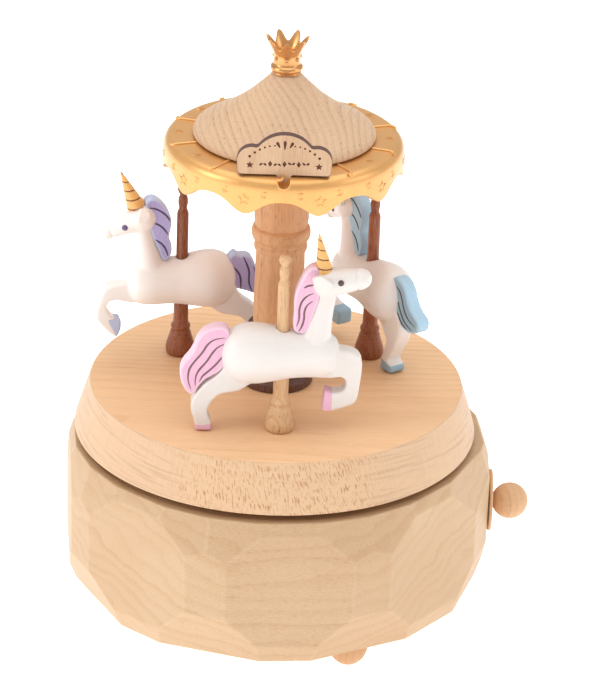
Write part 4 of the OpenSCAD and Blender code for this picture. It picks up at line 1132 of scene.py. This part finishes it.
def make_body_mesh(p):
    parts = []
    tp = chaikin([(r, z) for r, z in p["torso"]], 2)
    tv, tf = tilt_lathe(tp, (0.0, TORSO_Z), (10.0, TORSO_Z), 72)
    parts.append(([(x, y * TORSO_SIDE, z) for x, y, z in tv], tf))
    na, nb, nr = p["neck"]
    nl = math.dist(na, nb)
    parts.append(tilt_lathe([(0, -1), (nr[0], -1)] + [(r, nl * (i + 0.4) / len(nr)) for i,
        r in enumerate(nr)] + [(nr[-1], nl + 1), (0, nl + 1)],
        na, nb, 48))
    ha, hb, (r0, r1) = p["head"][:3]
    hl = math.dist(ha, hb)
    th = [math.radians(a) for a in range(-90, 1, 10)]
    back = [(r0 * math.cos(t), r0 * math.sin(t)) for t in th]
    back[0] = (0.0, -r0)
    nose = [(r1 * math.cos(math.radians(a)), hl + r1 * math.sin(math.radians(a))) for a in range(10, 90,
        10)] + [(0.0, hl + r1)]
    mid = [(r0 - 0.1, 1.6)] + [(r0 + (r1 - r0) * q ** p.get("taper", 0.9), hl * q) for q in (0.3, 0.5,
        0.7)] + [(r1 + 0.04, hl * 0.93), (r1 + 0.02, hl)]
    parts.append(tilt_lathe(back + mid + nose, ha, hb, 48))
    # the legs are sawn plates
    for out, t in ((p["hind"], 5.4), (p["fore"], 5.2)):
        pv, pf, _ = plate_data([tuple(q) for q in chaikin(out, 1, True, 0.2)], t, 0.55, 3)
        parts.append((pv, pf))
    me = None
    for q in parts:
        q = merge("part", [q])
        me = q if me is None else cut(me, q, "UNION")
    o = obj_of("tmp_body", me)
    rm = o.modifiers.new("r", "REMESH")
    rm.mode = "VOXEL"
    rm.voxel_size = VOXEL
    rm.adaptivity = 0.0
    me = bake(o)
    # soften the joints between torso, neck and legs more than the rest
    co = coords(me)
    x, z = co[:, 0], co[:, 2]

    def near(cx, cz, ra, rb):
        return np.clip(1 - (np.hypot(x - cx, z - cz) - ra) / (rb - ra), 0, 1)
    w = np.maximum.reduce([near(10, 107.4, 4.5, 8.0), near(nb[0] + 1.4, nb[1] - 1.5, 2.6, 4.8),
        near(15.6, 98, 4.0, 6.0), near(-14.6, 94.5, 4.5, 7.0)])
    vg = o.vertex_groups.new(name="soft")
    for lv in np.unique(np.round(w, 1)):
        if lv > 0:
            vg.add([int(i) for i in np.where(np.round(w, 1) == lv)[0]], float(lv), "REPLACE")
    s1 = o.modifiers.new("s1", "SMOOTH")
    s1.factor, s1.iterations = 0.5, 3
    s2 = o.modifiers.new("s2", "SMOOTH")
    s2.factor, s2.iterations, s2.vertex_group = 0.5, 24, "soft"
    me = bake(o)
    # crease between the muzzle and the face
    co = coords(me).astype(float)
    a, b = np.array([ha[0], 0, ha[1]]), np.array([hb[0], 0, hb[1]])
    d = (b - a) / np.linalg.norm(b - a)
    rel = co - a
    al = rel @ d
    out = rel - al[:, None] * d
    dist = np.linalg.norm(out, axis=1)
    at = hl * 0.86
    sel = (np.abs(al - at) < 2.6) & (dist < 4.4) & (co[:, 2] > 112) & (co[:, 0] > 16)
    amount = np.exp(-((al - at) / 0.26) ** 2) * 0.24 - np.exp(-((al - at - 1.2) / 0.9) ** 2) * 0.14
    co[sel] -= (out[sel] / np.maximum(dist[sel], 1e-6)[:, None]) * amount[sel][:, None]
    me.vertices.foreach_set("co", co.astype(np.float32).ravel())
    me.update()
    bpy.data.objects.remove(o)
    # hole for the post
    hole = lathe_data([(0, 86), (2.42, 86), (2.42, 95.3), (2.08, 95.6), (2.08, 114), (0, 114)], 48)
    return cut(me, merge("hole", [hole]))


def hoof_split(me, k):
    """Material index 1 on the painted hooves."""
    idx = np.zeros(len(me.polygons), np.int32)
    for i, p in enumerate(me.polygons):
        x, _, z = p.center
        hind = z < (78.3 if k != 1 else 79.7 + 0.25 * (x + 11)) and x < -8
        if k == 0:
            fore = 5 < x < 15.0 and z < 90.0
        else:
            # the end of the folded lower leg
            fore = 15 < x < 23 and z < 89.6 and (x - 18.8) * 0.72 + (z - 84.0) * -0.35 < 1.1
            fore = fore if k == 2 else 11 < x < 16.9 and z < 87.0
        if hind or fore:
            idx[i] = 1
    return idx


def grooves(paths, t, r=0.36):
    """Engraving cutters: tubes laid on both faces of a plate of thickness t."""
    datas = []
    for p in paths:
        q = chaikin(p, 2)
        n = len(q)
        rad = [r * min(1.0, 0.35 + 2.2 * min(i, n - 1 - i) / n) for i in range(n)]
        for s in (-1, 1):
            datas.append(tube_data([(x, s * (t / 2 + 0.12), z) for x, z in q], rad, 8))
    return datas


MANE_LINES = [
    [[(8.6, 123.6), (6.8, 123.4), (5.6, 122.6)],
     [(8.6, 121.0), (6.6, 120.2), (5.0, 118.2), (4.4, 115.6), (4.6, 112.6), (3.8, 110.2)],
     [(8.4, 118.6), (6.6, 117.2), (5.9, 115.0), (6.0, 112.4), (5.2, 109.8), (4.4, 108.6)]],
    [[(11.0, 125.7), (8.9, 125.4), (6.6, 124.1), (4.8, 122.2), (4.0, 120.5)],
     [(10.4, 120.8), (8.0, 120.3), (6.1, 118.7), (4.6, 116.4)],
     [(9.2, 115.4), (6.8, 114.0), (5.4, 111.9), (4.6, 109.4)]],
]
TAIL_LINES = [
    [[(-16.6, 106.4), (-19.6, 106.0), (-21.8, 104.4), (-23.2, 101.6), (-25.6, 98.6), (-27.2, 96.0),
      (-27.4, 92.6), (-26.4, 89.6)],
     [(-16.2, 104.6), (-18.8, 103.6), (-20.6, 101.2), (-22.0, 98.6), (-24.2, 96.0), (-25.2, 93.6),
      (-25.2, 90.6)],
     [(-16.2, 101.8), (-17.8, 99.8), (-19.4, 97.6), (-21.4, 95.6), (-23.2, 94.0), (-24.0, 92.0)]],
    [[(-14.2, 106.0), (-16.8, 105.4), (-18.4, 103.2), (-19.6, 99.8), (-22.0, 97.2), (-25.6, 96.2)],
     [(-14.6, 102.8), (-16.4, 101.6), (-17.8, 98.6), (-20.2, 95.6), (-24.2, 94.4)],
     [(-14.8, 99.6), (-16.4, 97.6), (-18.6, 95.0), (-21.4, 93.8)]],
    [[(-18.2, 108.8), (-19.5, 106.1), (-20.6, 103.1), (-20.4, 100.2), (-20.8, 98.1), (-21.8, 96.0)],
     [(-15.2, 105.2), (-17.3, 102.8), (-18.0, 100.7), (-18.0, 97.0)],
     [(-21.8, 105.0), (-23.0, 101.0), (-25.2, 98.4), (-26.0, 95.6)]],
]


def engraved_plate(name, outline, t, lines, holes=()):
    V, F, I = plate_data([tuple(p) for p in chaikin(outline, 1, True, 0.22)], t, 0.7, 3, face=0, edge=1)
    me = to_mesh(name, V, F, I)
    for d in grooves(lines, t):
        me = cut(me, merge("g", [d]), cut_index=2)
    for h in holes:
        me = cut(me, merge("h", [h]), cut_index=0)
    return me


def ear_data(p):
    """Leaf shaped plates on both sides of the head, the upper end standing off."""
    cx, cz, turn = p["head"][4]
    out = [(-3.4, 2.2), (-2.0, 3.1), (-0.4, 3.3), (1.4, 2.0), (3.2, 0.3), (1.8, -1.6), (0.4, -3.4),
           (-1.1, -2.0), (-2.4, 0.0)]
    c, s = math.cos(math.radians(turn)), math.sin(math.radians(turn))
    out = [(x * c - z * s, x * s + z * c) for x, z in out]
    if turn:
        out = [(x * 0.62, z * 1.0) for x, z in out]
    res = []
    for sg in (-1, 1):
        V, F, _ = plate_data([tuple(q) for q in chaikin(out, 1, True, 0.18)], 1.5, 0.4, 3)
        v2 = [(cx + x, y + sg * (4.55 + 0.20 * z + 0.05 * x), cz + z) for x, y, z in V]
        res.append((v2, F))
    return res


HORN_TURNS, HORN_GROOVE, HORN_LINE_HALF = 4.2, 0.065, 0.07


def horn_data(p):
    """Tapered horn with a groove winding up it."""
    a, b, rad = p["head"][3]
    n, m = 72, 150
    L = math.dist(a, b)
    d = Vector((b[0] - a[0], 0, b[1] - a[1])).normalized()
    u = Vector((0, 1, 0))
    w = d.cross(u)
    base = Vector((a[0], 0, a[1]))
    V, F, I = [], [], []
    for j in range(m + 1):
        q = j / m
        for i in range(n):
            ang = 2 * math.pi * i / n
            r = rad * (1 - q) ** 0.93 + 0.16
            ph = (q * HORN_TURNS + (ang / (2 * math.pi))) % 1.0
            dd = min(ph, 1 - ph)
            r -= 0.30 * math.exp(-(dd / HORN_GROOVE) ** 2) * (1 - q) ** 0.5
            V.append(tuple(base + d * (L * q) + u * (r * math.cos(ang)) + w * (r * math.sin(ang))))
    for j in range(m):
        for i in range(n):
            i2 = (i + 1) % n
            F.append((j * n + i, j * n + i2, (j + 1) * n + i2, (j + 1) * n + i))
            q = (j + 0.5) / m
            ph = (q * HORN_TURNS + ((i + 0.5) / n)) % 1.0
            I.append(1 if min(ph, 1 - ph) < HORN_LINE_HALF else 0)
    F.append(tuple(range(n - 1, -1, -1)))
    I.append(0)
    F.append(tuple(range(m * n, (m + 1) * n)))
    I.append(0)
    return V, F, I


def eye_data(p):
    (ax, az), (bx, bz), (r0, r1) = p["head"][:3]
    al, up = p["head"][5]
    L = math.dist((ax, az), (bx, bz))
    dx, dz = (bx - ax) / L, (bz - az) / L
    cx, cz = ax + dx * al - dz * up, az + dz * al + dx * up
    ra = r0 + (r1 - r0) * (al / L) ** p.get("taper", 0.9)
    side = math.sqrt(ra * ra - up * up) - 0.18
    res = []
    for s in (-1, 1):
        ball = lathe_data(chaikin([(0, -0.5), (0.8, -0.5), (0.98, -0.1), (0.9, 0.3), (0.62, 0.55),
            (0.5, 0.5), (0.38, 0.56), (0.2, 0.66), (0, 0.68)], 1), 32)
        res.append(([(cx + x, s * (side + z * 0.9), cz + y) for x, y, z in ball[0]], ball[1]))
    return res


def unicorn_matrix(k):
    px, py, _ = around(POST_AZ[k], POST_AT, 0)
    return Matrix.Translation((px, py, 0)) @ Matrix.Rotation(math.radians(HEADING[k]), 4, "Z")


HORN_GOLD = paint("horn_gold", srgb(234, 182, 110), srgb(216, 158, 88), rough=0.36, grain=0.35, bump=0.25,
    space="loc", axis="Z", coat=0.2)
HORN_LINE = paint("horn_line", srgb(140, 90, 58), srgb(108, 66, 40), rough=0.6, grain=0.4, bump=0.3,
    space="loc", coat=0.0)

def unicorn_piece(name, me, mats, k, nodes, slot, idx=None, angle=40):
    o = place(name, me, mats, "carousel", nodes, slot, angle=angle, matrix=unicorn_matrix(k), tag_local=True,
        flat=angle < 180)
    if idx is not None:
        o.data.polygons.foreach_set("material_index", idx)
        o.data.update()
    return o


for k in range(3):
    tag = str(k + 1)
    p = RIDERS[k]
    face, edge, line, hoof = MANES[k]
    mane_slot = ("pink_paint", "blue_paint", "lavender_paint")[k]
    body_me = make_body_mesh(p)
    unicorn_piece("unicorn_body_" + tag, body_me, [WHITES[k], hoof], k,
        ["torso_" + tag, "head_" + tag, "foreleg_" + tag, "hindleg_" + tag], "white_paint",
        hoof_split(body_me, k), 180)
    mane_me = engraved_plate("mane", p["mane"], 4.4, MANE_LINES[min(k, 1)])
    unicorn_piece("unicorn_mane_" + tag, mane_me, [face, edge, line], k, ["mane_" + tag], mane_slot,
        indices(mane_me))
    tail_me = engraved_plate("tail", p["tail"], 4.8 if k == 0 else 4.4, TAIL_LINES[k])
    unicorn_piece("unicorn_tail_" + tag, tail_me, [face, edge, line], k, ["tail_" + tag], mane_slot,
        indices(tail_me))
    unicorn_piece("unicorn_ears_" + tag, merge("ears", ear_data(p)), [WHITES[k]], k, ["ears"], "white_paint")
    hd = horn_data(p)
    unicorn_piece("unicorn_horn_" + tag, merge("horn", [hd]), [HORN_GOLD, HORN_LINE], k, ["horns"],
        "gilt_paint", np.array(hd[2], np.int32), 60)
    unicorn_piece("unicorn_eyes_" + tag, merge("eyes", eye_data(p)), [EYE_MAUVE if k == 2 else EYE], k,
        ["eyes"], "dark_paint")

# ------------------------------------------------------------------------------------------
# Parts that stay as the CAD has them
# ------------------------------------------------------------------------------------------
CAD_LOOK = {
    "base_cover": BEECH_SMALL, "cover_screws": STEEL, "movement_frame": BRASS, "top_bridge": BRASS,
    "frame_screws": STEEL,
    "comb": STEEL, "comb_screws": STEEL, "winding_bushing": BRASS, "spindle_bushing": BRASS, "click": STEEL,
    "spring_barrel": BRASS, "great_wheel": BRASS, "mainspring": STEEL, "winding_arbor": STEEL,
    "ratchet_wheel": STEEL,
    "idler_wheel": BRASS, "fly_arbor": STEEL, "fly_vanes": STEEL, "spindle": STEEL, "pinned_cylinder": BRASS,
    "spindle_flange": STEEL, "flange_screws": STEEL,
}
for node, look in CAD_LOOK.items():
    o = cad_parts[node]
    o.data.materials.clear()
    o.data.materials.append(look)

# ------------------------------------------------------------------------------------------
# Floor, light, camera
# ------------------------------------------------------------------------------------------
FLOOR_GLOW, SKY_LIGHT = 0.80, 0.55
fm = Mat("floor_white")
fv = fm.mm()
fm.done(fm.mix(fm.mul(fm.noise(fv, 0.01, 2.0), 0.02), (0.90, 0.90, 0.90, 1), (0.88, 0.88, 0.88, 1)), 0.9)
fm.bsdf.inputs["Emission Color"].default_value = (1, 1, 1, 1)
fm.bsdf.inputs["Emission Strength"].default_value = FLOOR_GLOW
floor_me = to_mesh("floor", [(-4, -4, -0.0002), (4, -4, -0.0002), (4, 4, -0.0002), (-4, 4, -0.0002)],
    [(0, 1, 2, 3)])
floor = obj_of("floor_plane", floor_me, [fm.mat])

world = bpy.data.worlds.new("studio")
SCN.world = world
world.use_nodes = True
world.node_tree.nodes["Background"].inputs[0].default_value = (1.0, 1.0, 1.0, 1)
world.node_tree.nodes["Background"].inputs[1].default_value = SKY_LIGHT


def area(name, loc, target, size, power, color=(1, 1, 1)):
    li = bpy.data.lights.new(name, "AREA")
    li.shape, li.size, li.energy, li.color = "DISK", size, power, color
    o = bpy.data.objects.new(name, li)
    o.location = loc
    o.rotation_mode = "QUATERNION"
    o.rotation_quaternion = (Vector(target) - Vector(loc)).to_track_quat("-Z", "Y")
    SCN.collection.objects.link(o)


# name, place, aim, diameter (metres), power (watts), colour
LIGHTS = [("softbox_top", (0, 0.05, 1.35), (0, 0.0, 0), 2.0, 14.5),
    ("key_left", (-1.0, -0.36, 0.55), (0, 0, 0.1), 0.6, 3.8, (1.0, 0.99, 0.975)),
    ("fill_right", (1.0, -0.22, 0.6), (0, 0, 0.1), 0.6, 1.6)]
for light in LIGHTS:
    area(*light)

CAMERA_AT, CAMERA_AIM = (0.0, -0.99624, 0.55558), (0.006829, 0.0, 0.089206)
CAMERA_ROLL = 2.139                         # degrees
SENSOR_MM, FOCAL_RATIO = 36.0, 3642.836 / 680.0
cam = bpy.data.cameras.new("camera")
cam_o = bpy.data.objects.new("camera", cam)
SCN.collection.objects.link(cam_o)
cam.sensor_width = SENSOR_MM
cam.lens = FOCAL_RATIO * SENSOR_MM
eye = Vector(CAMERA_AT)
look = Vector(CAMERA_AIM)
cam_o.location = eye
cam_o.rotation_mode = "QUATERNION"
cam_o.rotation_quaternion = (look - eye).to_track_quat("-Z", "Y") @ Quaternion((0, 0, 1),
    math.radians(CAMERA_ROLL))
cam.clip_start, cam.clip_end = 0.05, 50.0
SCN.camera = cam_o
SCN.view_settings.view_transform = "Standard"
